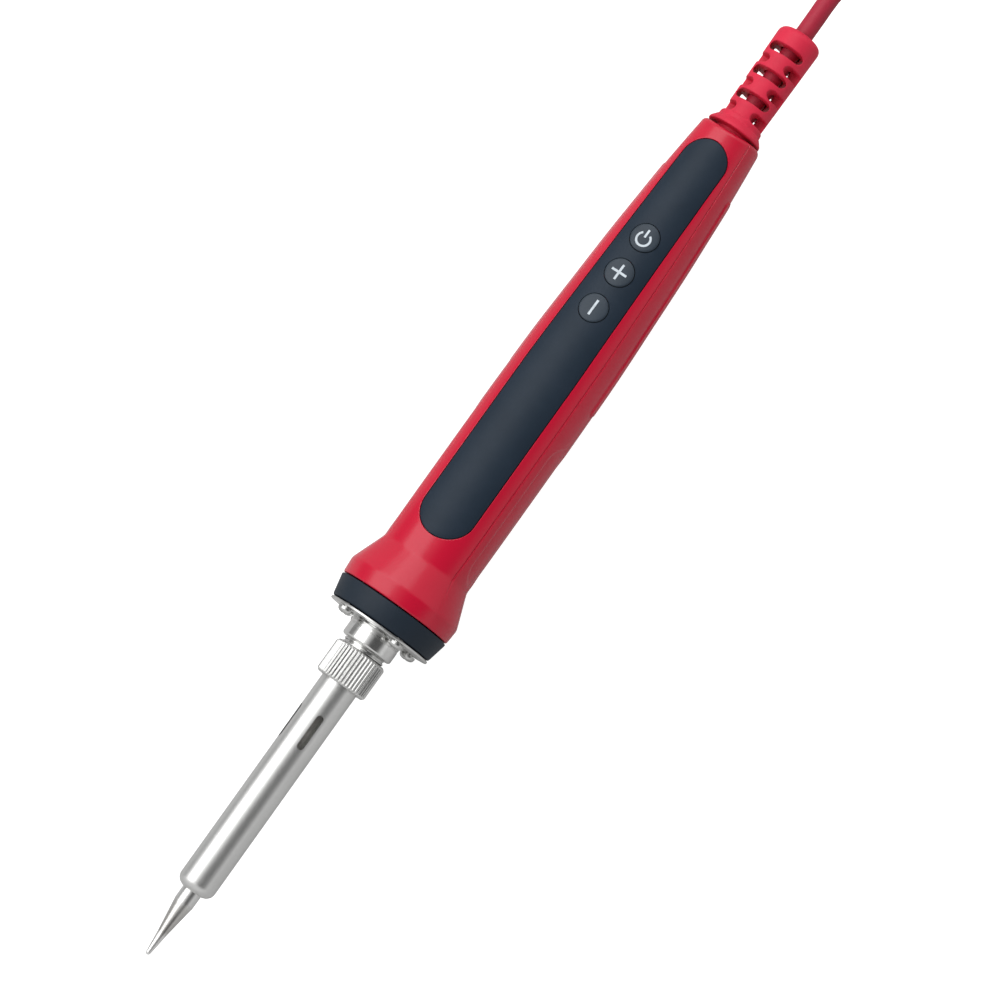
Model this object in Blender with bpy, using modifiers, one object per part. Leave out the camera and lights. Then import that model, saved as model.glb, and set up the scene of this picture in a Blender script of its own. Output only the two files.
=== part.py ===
"""A handheld digital soldering iron with its mains lead, lying on a bench.

The iron lies along X: the soldering tip at low x, the lead at high x, and the control panel facing +Z.
Everything is placed from the iron's own axis: x is the distance from the point of the tip, and y and z
are measured from the axis. The empty "iron_axis" carries those coordinates to the bench, which is z = 0.
Numbers are millimetres, and the helpers turn them into metres.
"""
import math

import bmesh
import bpy
from mathutils import Vector

MM = 0.001
GAP = 0.3  # the clearance that touching pieces keep
OUTSIDE = 20.0  # a distance from the axis that is beyond every part of the iron

# The iron on the bench
IRON_LENGTH = 277.5
AXIS_HEIGHT = 15.65  # the flange's largest radius, on which the iron rests

# Soldering tip
TIP_RADIUS = 0.56
TIP_CONE_END = 14.9
TIP_NECK_RADIUS = 2.6
TIP_SHANK_START = 19.5
TIP_SHANK_END = 43.8
TIP_SHANK_RADIUS = 3.3
TIP_BORE_START = 20.7
TIP_BORE_RADIUS = 2.25

# Heater
HEATER_RADIUS = 1.95
HEATER_START = 21.0
HEATER_END = 95.4
HEATER_BASE = (86.4, 97.4)
HEATER_BASE_RADIUS = 3.7
LEAD_RADIUS = 0.5

# Barrel sleeve
BARREL_START = 18.6
BARREL_END = 84.0
BARREL_RADIUS = 5.0
BARREL_WALL = 0.5
BARREL_MOUTH_RADIUS = 2.9
BARREL_SHOULDER = 2.6
FLARE_RADIUS = 5.75
FLARE_LENGTH = 1.0
SLOT_START = 61.3
SLOT_LENGTH = 9.8
SLOT_WIDTH = 1.9
SLOT_TURN = 27.0  # degrees from the panel's normal towards -Y

# Retaining nut
NUT = (79.9, 89.3)
NUT_RADIUS = 7.0
NUT_ROOT_RADIUS = 6.68
NUT_TEETH = 44
NUT_MOUTH_RADIUS = 5.3
NUT_LIP = 1.8
NUT_CAVITY_RADIUS = 6.1

# Collar with its threaded neck
NECK_START = 84.6
NECK_RADIUS = 5.8
COLLAR = (90.8, 95.9)
COLLAR_RADIUS = 7.0
COLLAR_CORNER = 0.7
COLLAR_BORE = 4.0
SPIGOT_RADIUS = 5.2
SPIGOT_END = 99.2

# Front plate, cap and their screws
PLATE = (96.2, 96.8)
PLATE_RADIUS = 14.25
PLATE_HOLE = 5.5
CAP = (97.1, 102.8)
CAP_RADII = (14.25, 15.4)
CAP_HOLE = 8.0
SCREW_CIRCLE = 10.8
SCREW_TURNS = (45.0, 135.0, 225.0, 315.0)
SCREW_HEAD_RADIUS = 2.1
SCREW_HEAD_HEIGHT = 1.5
SCREW_SHANK_RADIUS = 1.15
SCREW_END = 109.2
BOSS_RADIUS = 2.6
BOSS_END = 110.6

# Handle: the outer radius along the axis, from the flange to the rear edge
HANDLE_STATIONS = (
    (103.1, 15.4),
    (107.2, 15.65),
    (116.1, 12.25),
    (123.0, 12.4),
    (158.0, 12.4),
    (169.0, 12.3),
    (181.0, 12.1),
    (196.0, 11.5),
    (211.0, 10.85),
    (221.0, 10.25),
    (231.0, 9.6),
    (241.0, 8.7),
    (245.8, 8.3),
    (247.2, 7.5),
)
HANDLE_RINGS = (
    103.1, 107.2, 110.1, 113.1, 116.1, 117.0, 118.0, 128.0, 143.0, 157.9, 158.9,
    168.4, 169.4, 181.0, 196.0, 211.0, 221.0, 232.0, 233.0, 239.0, 244.4,
)
HANDLE_END = 247.2
REAR_EDGE = 245.8
HANDLE_WALL = 2.2
FLANGE_END = 116.1
CORNER_ANGLE = 52.0  # degrees from the panel's normal to the long edges
CORNER_RATIO = 1.035  # how far the long edges stand out, as a share of the radius
SECTION_ANGLES = (0.0, 10.0, 20.0, 30.0, 41.0, 52.0, 62.5, 65.0, 80.5, 82.5, 90.0)
RIB = (168.9, 232.5)
RIB_ANGLE = 82.0
RIB_HEIGHT = 0.4
GRIP = (117.5, 158.4)
GRIP_ANGLE = 64.0
GRIP_DEPTH = 0.3
REAR_HOLE_RADIUS = 5.0

# Control panel and buttons
PANEL_FRONT = 122.1
PANEL_REAR = 241.8
PANEL_FRONT_RADIUS = 7.2
PANEL_REAR_RADIUS = 6.0
PANEL_TAPER_START = 173.0
PANEL_THICKNESS = 0.9
BUTTONS = (("minus_button", 190.1), ("plus_button", 200.9), ("power_button", 211.6))
BUTTON_RADIUS = 3.75
BUTTON_PROUD = 0.3
BUTTON_FLANGE_RADIUS = 4.5
BUTTON_FLANGE_DROP = 3.7
BUTTON_FLANGE_HEIGHT = 0.8
BUTTON_STEM_RADIUS = 1.5

# Circuit board and what it carries
BOARD = (138.0, 217.2)
BOARD_TOP = 1.5
BOARD_THICKNESS = 1.6
BOARD_HALF_WIDTH = 6.3
SWITCH_SIZE = 6.0
SWITCH_HEIGHT = 3.2
PLUNGER_RADIUS = 1.65
PLUNGER_TOP = 5.6
PLUNGER_BOTTOM = 4.6
SWITCH_WELL_BOTTOM = 3.6
BOARD_SCREWS = (141.5, 180.0)
BOARD_SCREW_RADIUS = 0.8
BOARD_BOSS_RADIUS = 2.2
BLIND_SCREW_TIP = -5.0  # how high the tips of the board's and the clamp's screws are
DISPLAY = (148.0, 172.0)
DISPLAY_HALF_WIDTH = 4.6
DISPLAY_TOP = 8.3
WINDOW_BOTTOM = 7.0
UNDERSIDE_COMPONENTS = (  # name, start, end, half width, height, finish
    ("controller_chip", 196.0, 203.0, 3.5, 1.4, "black"),
    ("triac", 147.0, 156.0, 4.9, 4.4, "black"),
    ("filter_capacitor", 160.0, 175.0, 3.0, 7.5, "film"),
)

# Screws that hold the two shells together
CASE_SCREWS = (127.0, 220.9)
CASE_SCREW_RADIUS = 1.1
CASE_SCREW_TOP = 5.0
CASE_SCREW_SEAT = 5.2  # the head's seat below the axis
UPPER_BOSS_RADIUS = 2.6
LOWER_BOSS_RADIUS = 3.0

# Cord clamp inside the handle's rear
CLAMP = (227.3, 231.3)
CLAMP_MIDDLE = 229.3
CLAMP_HALF_WIDTH = 6.2
CLAMP_LIFT = 0.6  # the clamp's and the saddle's faces lie this far from the axis
CLAMP_TOP = 2.0
CLAMP_WALL = 0.9
CLAMP_SCREW_Y = 4.5
CLAMP_SCREW_RADIUS = 0.7
SADDLE_DEPTH = 8.4

# Strain relief boot
BOOT_FLANGE = (242.4, 244.1)
BOOT_FLANGE_RADIUS = 5.75
BOOT_NECK_RADIUS = 4.7
BOOT_RING = (247.5, 249.6)
BOOT_RING_RADIUS = 7.5
BOOT_SHOULDER_END = 250.9
BOOT_RADIUS = 5.95
BOOT_END = 277.5
BOOT_BORE = 2.75
BOOT_SLOT_WIDTH = 2.6
BOOT_SIDE_SLOTS = (252.7, 259.95, 267.2)  # open at both sides of the upper half, and below
BOOT_FACE_SLOTS = (256.6, 263.85, 271.1)  # the same, turned over
BOOT_BRIDGE_HALF_WIDTH = 2.3
BOOT_FACE_SLOT_Y = 4.7

# Mains lead: a 1.44 m cord, most of it folded into a tied hank
CORD_RADIUS = 2.45
CORD = 2 * CORD_RADIUS
INNER_CORD = (225.3, 249.7)
CONDUCTOR_RADIUS = 0.75
HANK_LAYERS = 3
HANK_OUTER_FOLD = 4 * CORD  # bend radius of the outer turns
HANK_START = 346.0  # where the folds at the near end begin
HANK_RUN = 47.9  # straight length between the folds
HANK_Y = 6.4
TIE_THICKNESS = 0.6
TIE_WIDTH = 10.0
HANK_BOTTOM = TIE_THICKNESS + GAP - AXIS_HEIGHT
HANK_TOP = HANK_BOTTOM + HANK_LAYERS * CORD
CORD_ROUTE = (
    (250.0, 0.0, 0.0),
    (257.0, 0.0, 0.0),
    (264.0, 0.0, 0.0),
    (271.0, 0.0, 0.0),
    (277.5, 0.0, 0.0),
    (284.0, 0.0, 0.0),
    (290.0, 0.0, 0.0),
    (296.0, -0.7, -0.6),
    (302.0, -2.7, -2.5),
    (308.0, -5.6, -5.2),
    (314.0, -8.6, -8.0),
    (320.0, -11.1, -10.3),
    (326.0, -12.7, -11.8),
    (331.0, -13.2, -12.3),
)

# Plug: two flat blades, lying on the hank
PLUG_Y = HANK_Y + 2 * CORD
PLUG_HALF_WIDTH = 11.0
PLUG_HALF_HEIGHT = 6.5
PLUG_BODY_LENGTH = 27.0
PLUG_RELIEF_LENGTH = 20.0
PLUG_RELIEF_RADII = (5.0, 3.6)
BLADE_SPACING = 12.7
BLADE_SIZE = (17.5, 1.5, 6.35)
TAIL_FOLD = 3 * CORD

CORNER_BEVEL = 0.25
ROUND_STEPS = 32
SMALL_ROUND_STEPS = 16


def point(x, y, z):
    """A place measured from the iron's axis in millimetres, as a vector in metres."""
    return Vector((x, y, z)) * MM


def clear_scene():
    for item in list(bpy.data.objects):
        bpy.data.objects.remove(item)


def new_collection(name):
    collection = bpy.data.collections.new(name)
    bpy.context.scene.collection.children.link(collection)
    return collection


def material(name, colour, roughness, metallic=0.0):
    made = bpy.data.materials.new(name)
    made.use_nodes = True
    shader = made.node_tree.nodes["Principled BSDF"]
    shader.inputs["Base Color"].default_value = (*colour, 1.0)
    shader.inputs["Roughness"].default_value = roughness
    shader.inputs["Metallic"].default_value = metallic
    return made


clear_scene()
PARTS = new_collection("soldering_iron")
CUTTERS = new_collection("cutters")
AXIS = bpy.data.objects.new("iron_axis", None)
AXIS.location = point(-IRON_LENGTH / 2, 0.0, AXIS_HEIGHT)
PARTS.objects.link(AXIS)

RED_PLASTIC = material("red_plastic", (0.55, 0.01, 0.04), 0.3)
RED_RUBBER = material("red_rubber", (0.55, 0.03, 0.08), 0.6)
CORD_SHEATH = material("cord_sheath", (0.36, 0.02, 0.05), 0.55)
SLATE_PLASTIC = material("slate_plastic", (0.02, 0.03, 0.04), 0.45)
BUTTON_PLASTIC = material("button_plastic", (0.04, 0.05, 0.06), 0.5)
BLACK_PLASTIC = material("black_plastic", (0.012, 0.012, 0.013), 0.45)
BRUSHED_STEEL = material("brushed_steel", (0.6, 0.59, 0.57), 0.3, 1.0)
POLISHED_STEEL = material("polished_steel", (0.75, 0.75, 0.74), 0.15, 1.0)
TIP_PLATING = material("tip_plating", (0.5, 0.49, 0.47), 0.3, 1.0)
BRASS = material("brass", (0.7, 0.5, 0.2), 0.3, 1.0)
CERAMIC = material("ceramic", (0.8, 0.79, 0.75), 0.5)
BOARD_GREEN = material("board_green", (0.02, 0.16, 0.06), 0.4)
CAPACITOR_FILM = material("capacitor_film", (0.45, 0.03, 0.05), 0.4)
LEAD_SLEEVE = material("lead_sleeve", (0.7, 0.66, 0.55), 0.7)
CONDUCTOR_BROWN = material("conductor_brown", (0.12, 0.05, 0.02), 0.5)
CONDUCTOR_BLUE = material("conductor_blue", (0.02, 0.1, 0.4), 0.5)
TIE_FABRIC = material("tie_fabric", (0.015, 0.015, 0.017), 0.85)


def place(item, finish, location=(0.0, 0.0, 0.0), rotation=(0.0, 0.0, 0.0), smooth=30.0):
    """Hang an object on the iron's axis: a part with its finish, or a cutter where finish is None."""
    for collection in list(item.users_collection):
        collection.objects.unlink(item)
    item.parent = AXIS
    item.location = point(*location)
    item.rotation_euler = rotation
    if finish is None:
        CUTTERS.objects.link(item)
        item.hide_render = True
        item.display_type = "WIRE"
        return item
    PARTS.objects.link(item)
    item.data.materials.append(finish)
    if item.type == "MESH":
        item.data.shade_smooth()
        item.data.set_sharp_from_angle(angle=math.radians(smooth))
    return item


def mesh_object(name, form):
    """A new object that holds a bmesh's form."""
    mesh = bpy.data.meshes.new(name)
    bmesh.ops.recalc_face_normals(form, faces=form.faces)
    form.to_mesh(mesh)
    form.free()
    return bpy.data.objects.new(name, mesh)


def box(name, low, high, finish=None, bevel=0.0):
    """A box between two corners, with bevelled edges where bevel is more than 0."""
    form = bmesh.new()
    bmesh.ops.create_cube(form, size=1.0)
    size = (Vector(high) - Vector(low)) * MM
    bmesh.ops.scale(form, vec=size, verts=form.verts)
    item = mesh_object(name, form)
    if bevel > 0.0:
        rounding = item.modifiers.new("rounding", "BEVEL")
        rounding.width = bevel * MM
        rounding.segments = 1
    return place(item, finish, (Vector(low) + Vector(high)) / 2)


def cylinder(name, start, end, radius, finish=None, steps=SMALL_ROUND_STEPS):
    """A plain cylinder between two points on a line along X or Z."""
    form = bmesh.new()
    long = (Vector(end) - Vector(start)).length
    bmesh.ops.create_cone(
        form, cap_ends=True, segments=steps, radius1=radius * MM, radius2=radius * MM, depth=long * MM
    )
    item = mesh_object(name, form)
    turn = (Vector(end) - Vector(start)).to_track_quat("Z", "Y").to_euler()
    return place(item, finish, (Vector(start) + Vector(end)) / 2, turn)


def turned(name, profile, finish=None, steps=ROUND_STEPS, location=(0, 0, 0), upright=False, smooth=30.0):
    """A turned piece from (distance along the axis, radius) points, closed on itself or on the axis.

    The axis is X, or Z where upright is set.
    """
    around = list(profile)
    area = sum(
        a[1] * b[0] - b[1] * a[0] for a, b in zip(around, around[1:] + around[:1], strict=True)
    )
    if area > 0.0:
        around.reverse()
    on_axis = around[0][1] == 0.0
    form = bmesh.new()
    verts = [form.verts.new((radius * MM, 0.0, along * MM)) for along, radius in around]
    for first, second in zip(verts, verts[1:]):
        form.edges.new((first, second))
    if not on_axis:
        form.edges.new((verts[-1], verts[0]))
    mesh = bpy.data.meshes.new(name)
    form.to_mesh(mesh)
    form.free()
    item = bpy.data.objects.new(name, mesh)
    turning = item.modifiers.new("turning", "SCREW")
    turning.steps = steps
    turning.render_steps = steps
    turning.use_merge_vertices = True
    turning.merge_threshold = 0.00001
    turning.use_smooth_shade = False
    return place(item, finish, location, (0.0, 0.0 if upright else math.pi / 2, 0.0), smooth)


def prism(name, outlines, depth, finish=None, location=(0, 0, 0), rotation=(0, 0, 0), smooth=30.0):
    """A flat outline, with the holes that further outlines make, of that thickness about its plane."""
    curve = bpy.data.curves.new(name + "_outline", "CURVE")
    curve.dimensions = "2D"
    curve.fill_mode = "BOTH"
    curve.extrude = depth * MM / 2
    for outline in outlines:
        spline = curve.splines.new("POLY")
        spline.points.add(len(outline) - 1)
        for spot, (across, up) in zip(spline.points, outline, strict=True):
            spot.co = (across * MM, up * MM, 0.0, 1.0)
        spline.use_cyclic_u = True
    guide = bpy.data.objects.new(name + "_guide", curve)
    bpy.context.scene.collection.objects.link(guide)
    evaluated = guide.evaluated_get(bpy.context.evaluated_depsgraph_get())
    mesh = bpy.data.meshes.new_from_object(evaluated)
    bpy.data.objects.remove(guide)
    form = bmesh.new()
    form.from_mesh(mesh)
    bpy.data.meshes.remove(mesh)
    bmesh.ops.remove_doubles(form, verts=form.verts, dist=0.000001)
    return place(mesh_object(name, form), finish, location, rotation, smooth)


def smooth_route(spots, spacing):
    """Points about a spacing apart on a smooth curve through the spots."""
    spots = [Vector(spot) for spot in spots]
    ends = [2 * spots[0] - spots[1], *spots, 2 * spots[-1] - spots[-2]]
    route = []
    for before, first, second, after in zip(ends, ends[1:], ends[2:], ends[3:]):
        pieces = max(1, round((second - first).length / spacing))
        for piece in range(pieces):
            t = piece / pieces
            route.append(
                0.5
                * (
                    2 * first
                    + t * (second - before)
                    + t**2 * (2 * before - 5 * first + 4 * second - after)
                    + t**3 * (3 * first - before - 3 * second + after)
                )
            )
    route.append(spots[-1])
    return route


def wire(name, route, radius, finish):
    """A round wire or cord along a route, with closed ends."""
    curve = bpy.data.curves.new(name, "CURVE")
    curve.dimensions = "3D"
    curve.bevel_depth = radius * MM
    curve.bevel_resolution = 2
    curve.use_fill_caps = True
    spline = curve.splines.new("POLY")
    spline.points.add(len(route) - 1)
    for spot, place_on_route in zip(spline.points, route, strict=True):
        spot.co = (*point(*place_on_route), 1.0)
    return place(bpy.data.objects.new(name, curve), finish)


def combine(item, other, operation):
    """Cut, join or keep what is common, with a Boolean modifier."""
    step = item.modifiers.new(other.name, "BOOLEAN")
    step.operation = operation
    step.object = other
    step.solver = "EXACT"


def cut(item, other):
    combine(item, other, "DIFFERENCE")


def join(item, other):
    combine(item, other, "UNION")


def arc(centre, radius, start, end, steps):
    """Points on an arc, its angles in degrees from the first axis towards the second."""
    turns = [math.radians(start + (end - start) * step / steps) for step in range(steps + 1)]
    return [(centre[0] + radius * math.cos(turn), centre[1] + radius * math.sin(turn)) for turn in turns]


def around_axis(turn, radius):
    """The y and z of a place at an angle from the panel's normal, in degrees towards +Y."""
    return radius * math.sin(math.radians(turn)), radius * math.cos(math.radians(turn))


def handle_radius(x):
    """The handle's outer radius at a place along the axis."""
    for (x0, r0), (x1, r1) in zip(HANDLE_STATIONS, HANDLE_STATIONS[1:]):
        if x <= x1:
            return r0 + (r1 - r0) * (x - x0) / (x1 - x0)
    return HANDLE_STATIONS[-1][1]


def section_radius(x, turn, inset=0.0):
    """The distance from the axis to the handle's surface, at an angle from the panel's normal.

    Four shallow arcs meet in long edges, which fade out on the flange.
    """
    radius = handle_radius(x) - inset
    fade = min(1.0, (x - HANDLE_STATIONS[0][0]) / (FLANGE_END - HANDLE_STATIONS[0][0]))
    corner = radius * (1.0 + (CORNER_RATIO - 1.0) * fade)
    from_top = min(abs(turn), 180.0 - abs(turn))
    if from_top <= CORNER_ANGLE:
        half_span, off_middle = CORNER_ANGLE, from_top
    else:
        half_span, off_middle = 90.0 - CORNER_ANGLE, 90.0 - from_top
    chord = corner * math.sin(math.radians(half_span))
    rise = radius - corner * math.cos(math.radians(half_span))
    bow = (chord**2 + rise**2) / (2 * rise)
    shift = radius - bow
    off = math.radians(off_middle)
    return shift * math.cos(off) + math.sqrt(bow**2 - (shift * math.sin(off)) ** 2)


def side_relief(x, turn):
    """How far the side ribs stand out, or the grip hollows lie in."""
    from_top = min(abs(turn), 180.0 - abs(turn))
    if RIB[0] < x < RIB[1] and from_top > RIB_ANGLE:
        return RIB_HEIGHT
    if GRIP[0] < x < GRIP[1] and from_top > GRIP_ANGLE:
        return -GRIP_DEPTH
    return 0.0


def shell(name, side):
    """One half of the handle: side is 1 for the upper half and -1 for the lower one."""
    turns = [-turn for turn in reversed(SECTION_ANGLES)] + list(SECTION_ANGLES[1:])

    def row(x, radius_at):
        spots = []
        for turn in turns:
            y, z = around_axis(turn, radius_at(turn))
            spots.append(point(x, y, side * max(z, GAP / 2)))
        return spots

    outer = [row(x, lambda turn, x=x: section_radius(x, turn) + side_relief(x, turn)) for x in HANDLE_RINGS]
    inner = [row(x, lambda turn, x=x: section_radius(x, turn, HANDLE_WALL)) for x in HANDLE_RINGS]
    for x in (REAR_EDGE, HANDLE_END):
        outer.append(row(x, lambda turn, x=x: section_radius(x, turn)))
    inner.append(row(HANDLE_RINGS[-1] + 0.1, lambda turn: REAR_HOLE_RADIUS))
    inner.append(row(HANDLE_END, lambda turn: REAR_HOLE_RADIUS))
    form = bmesh.new()
    skins = [[[form.verts.new(spot) for spot in spots] for spots in skin] for skin in (outer, inner)]
    for skin in skins:
        for low, high in zip(skin, skin[1:]):
            for a, b, c, d in zip(low, low[1:], high[1:], high):
                form.faces.new((a, b, c, d))
    for ring in (0, -1):
        first, second = skins[0][ring], skins[1][ring]
        for a, b, c, d in zip(first, first[1:], second[1:], second):
            form.faces.new((a, b, c, d))
    for edge in (0, -1):
        first, second = ([ring[edge] for ring in skin] for skin in skins)
        for a, b, c, d in zip(first, first[1:], second[1:], second):
            form.faces.new((a, b, c, d))
    return place(mesh_object(name, form), RED_PLASTIC, smooth=20.0)


def handle_core(name, inset):
    """The handle's whole outer form, closed, and smaller all round by the inset."""
    turns = [360.0 * (step + 0.5) / 48 - 180.0 for step in range(48)]
    form = bmesh.new()
    rings = []
    for x in (PANEL_FRONT - 2.0, *(x for x in HANDLE_RINGS if PANEL_FRONT < x), HANDLE_END - 1.0):
        spots = [around_axis(turn, section_radius(x, turn, inset)) for turn in turns]
        rings.append([form.verts.new(point(x, y, z)) for y, z in spots])
    for low, high in zip(rings, rings[1:]):
        for a, b, c, d in zip(low, low[1:] + low[:1], high[1:] + high[:1], high, strict=True):
            form.faces.new((a, b, c, d))
    form.faces.new(rings[0])
    form.faces.new(rings[-1])
    return place(mesh_object(name, form), None)


def panel_outline(margin):
    """The control panel's outline from above: two round ends and sides that draw in to the rear."""
    front = PANEL_FRONT + PANEL_FRONT_RADIUS
    rear = PANEL_REAR - PANEL_REAR_RADIUS
    outline = arc((front, 0.0), PANEL_FRONT_RADIUS + margin, 90.0, 270.0, 16)
    outline.append((PANEL_TAPER_START, -PANEL_FRONT_RADIUS - margin))
    outline += arc((rear, 0.0), PANEL_REAR_RADIUS + margin, -90.0, 90.0, 14)
    outline.append((PANEL_TAPER_START, PANEL_FRONT_RADIUS + margin))
    return outline


def rounded_outline(half_width, half_height, radius, steps=4):
    """A rectangle with round corners."""
    outline = []
    for turn, (side, up) in zip((0.0, 90.0, 180.0, 270.0), ((1, 1), (-1, 1), (-1, -1), (1, -1)), strict=True):
        corner = (side * (half_width - radius), up * (half_height - radius))
        outline += arc(corner, radius, turn, turn + 90.0, steps)
    return outline


def make_tip():
    profile = [(0.0, 0.0)]
    profile += [(0.15, 0.4), (TIP_RADIUS, TIP_RADIUS), (6.3, 1.25)]
    profile += [(TIP_CONE_END, TIP_NECK_RADIUS - 0.05), (TIP_CONE_END + 0.4, TIP_NECK_RADIUS)]
    profile += [(TIP_SHANK_START, TIP_NECK_RADIUS), (TIP_SHANK_START, TIP_SHANK_RADIUS)]
    profile += [(TIP_SHANK_END, TIP_SHANK_RADIUS), (TIP_SHANK_END, TIP_BORE_RADIUS)]
    profile += [(TIP_BORE_START, TIP_BORE_RADIUS), (TIP_BORE_START, 0.0)]
    turned("soldering_tip", profile, TIP_PLATING, steps=24)


def make_heater():
    cylinder("heater_rod", (HEATER_START, 0, 0), (HEATER_END, 0, 0), HEATER_RADIUS, CERAMIC)
    start, end = HEATER_BASE
    bore = HEATER_RADIUS + GAP
    ring = [(end, HEATER_BASE_RADIUS), (start, HEATER_BASE_RADIUS), (start, bore), (end, bore)]
    turned("heater_base", ring, CERAMIC, steps=24)
    for kind, reach in (("heater_lead", 3.9), ("sensor_lead", 5.3)):
        for number, side in enumerate((1, -1), start=1):
            near = side * (0.9 if kind == "heater_lead" else 1.1)
            level = 1.0 if kind == "heater_lead" else -1.0
            spots = [
                (HEATER_END + GAP + 0.1, near, level),
                (99.2, near, level),
                (105.0, near * 1.4, level * 1.4),
                (116.0, side * reach * 0.8, level * 1.6),
                (127.0, side * reach, level * 1.4),
                (135.0, side * reach, 2.4),
                (140.0, side * reach, BOARD_TOP + GAP + LEAD_RADIUS),
            ]
            wire(f"{kind}_{number}", smooth_route(spots, 6.0), LEAD_RADIUS, LEAD_SLEEVE)


def make_barrel():
    inside = BARREL_RADIUS - BARREL_WALL
    shoulder_middle = (BARREL_START + BARREL_SHOULDER, BARREL_RADIUS - BARREL_SHOULDER)
    outer_round = arc(shoulder_middle, BARREL_SHOULDER, 90.0, 150.0, 4)
    profile = [(BARREL_END, FLARE_RADIUS), (BARREL_END - FLARE_LENGTH, FLARE_RADIUS)]
    profile += [(BARREL_END - FLARE_LENGTH, BARREL_RADIUS), *outer_round]
    profile += [(BARREL_START, outer_round[-1][1] - 0.5), (BARREL_START, BARREL_MOUTH_RADIUS)]
    profile += [(BARREL_START + 0.6, BARREL_MOUTH_RADIUS), (BARREL_START + 0.6, TIP_NECK_RADIUS + 0.5)]
    profile += [(BARREL_START + BARREL_SHOULDER, inside), (BARREL_END, inside)]
    barrel = turned("barrel_sleeve", profile, BRUSHED_STEEL)
    for number in range(4):
        turn = math.radians(-SLOT_TURN + 90.0 * number)
        slot = box(
            f"barrel_slot_{number + 1}",
            (-SLOT_LENGTH / 2, -SLOT_WIDTH / 2, inside - 1.0),
            (SLOT_LENGTH / 2, SLOT_WIDTH / 2, BARREL_RADIUS + 1.0),
        )
        middle = (inside + BARREL_RADIUS) / 2
        slot.location = point(
            SLOT_START + SLOT_LENGTH / 2, middle * math.sin(turn), middle * math.cos(turn)
        )
        slot.rotation_euler = (-turn, 0.0, 0.0)
        cut(barrel, slot)


def make_nut():
    start, end = NUT
    outline = []
    for tooth in range(NUT_TEETH):
        for share, radius in ((0.0, NUT_RADIUS), (0.35, NUT_RADIUS), (0.67, NUT_ROOT_RADIUS)):
            turn = 2 * math.pi * (tooth + share) / NUT_TEETH
            outline.append((radius * math.cos(turn), radius * math.sin(turn)))
    nut = prism(
        "retaining_nut", [outline], end - start, POLISHED_STEEL,
        ((start + end) / 2, 0, 0), (0, math.pi / 2, 0),
    )
    bore = [(end + 1, NUT_CAVITY_RADIUS), (start + NUT_LIP, NUT_CAVITY_RADIUS)]
    bore += [(start + NUT_LIP, NUT_MOUTH_RADIUS), (start - 1, NUT_MOUTH_RADIUS)]
    cut(nut, turned("nut_bore", [(end + 1, 0.0), *bore, (start - 1, 0.0)]))


def make_collar():
    start, end = COLLAR
    corner = arc((start + COLLAR_CORNER, COLLAR_RADIUS - COLLAR_CORNER), COLLAR_CORNER, 90.0, 180.0, 3)
    profile = [(SPIGOT_END, SPIGOT_RADIUS), (end, SPIGOT_RADIUS), (end, COLLAR_RADIUS), *corner]
    profile += [(start, NECK_RADIUS), (NECK_START, NECK_RADIUS)]
    profile += [(NECK_START, COLLAR_BORE), (SPIGOT_END, COLLAR_BORE)]
    turned("heater_collar", profile, POLISHED_STEEL)


def make_front():
    start, end = PLATE
    ring = [(end, PLATE_RADIUS), (start, PLATE_RADIUS), (start, PLATE_HOLE), (end, PLATE_HOLE)]
    plate = turned("front_plate", ring, BRUSHED_STEEL, steps=48)
    start, end = CAP
    ring = [(end, CAP_RADII[1]), (start, CAP_RADII[0]), (start, CAP_HOLE), (end, CAP_HOLE)]
    cap = turned("front_cap", ring, SLATE_PLASTIC, steps=48)
    head_front = PLATE[0] - GAP - SCREW_HEAD_HEIGHT
    for number, turn in enumerate(SCREW_TURNS, start=1):
        y, z = around_axis(turn, SCREW_CIRCLE)
        near, far = (PLATE[0] - 1.0, y, z), (SCREW_END + 0.5, y, z)
        hole = cylinder(f"plate_screw_hole_{number}", near, far, SCREW_SHANK_RADIUS + GAP, steps=12)
        cut(plate, hole)
        cut(cap, hole)
        profile = [(SCREW_END, 0.0), (SCREW_END, SCREW_SHANK_RADIUS), (PLATE[0] - GAP, SCREW_SHANK_RADIUS)]
        profile += [(PLATE[0] - GAP, SCREW_HEAD_RADIUS), (head_front + 0.7, SCREW_HEAD_RADIUS)]
        profile += [(head_front + 0.2, 1.6), (head_front, 0.9), (head_front, 0.0)]
        turned(f"plate_screw_{number}", profile, POLISHED_STEEL, steps=12, location=(0, y, z))


def screw(name, x, y, seat, head_radius, head_height, shank_radius, tip, finish=POLISHED_STEEL):
    """An upright machine screw: its seat and its tip are heights, and the head is beyond the seat."""
    out = 1 if seat > tip else -1
    top = seat + out * head_height
    profile = [(tip, 0.0), (tip, shank_radius), (seat, shank_radius), (seat, head_radius)]
    profile += [(top, head_radius), (top, 0.0)]
    turned(name, profile, finish, steps=12, location=(x, y, 0), upright=True)


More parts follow.
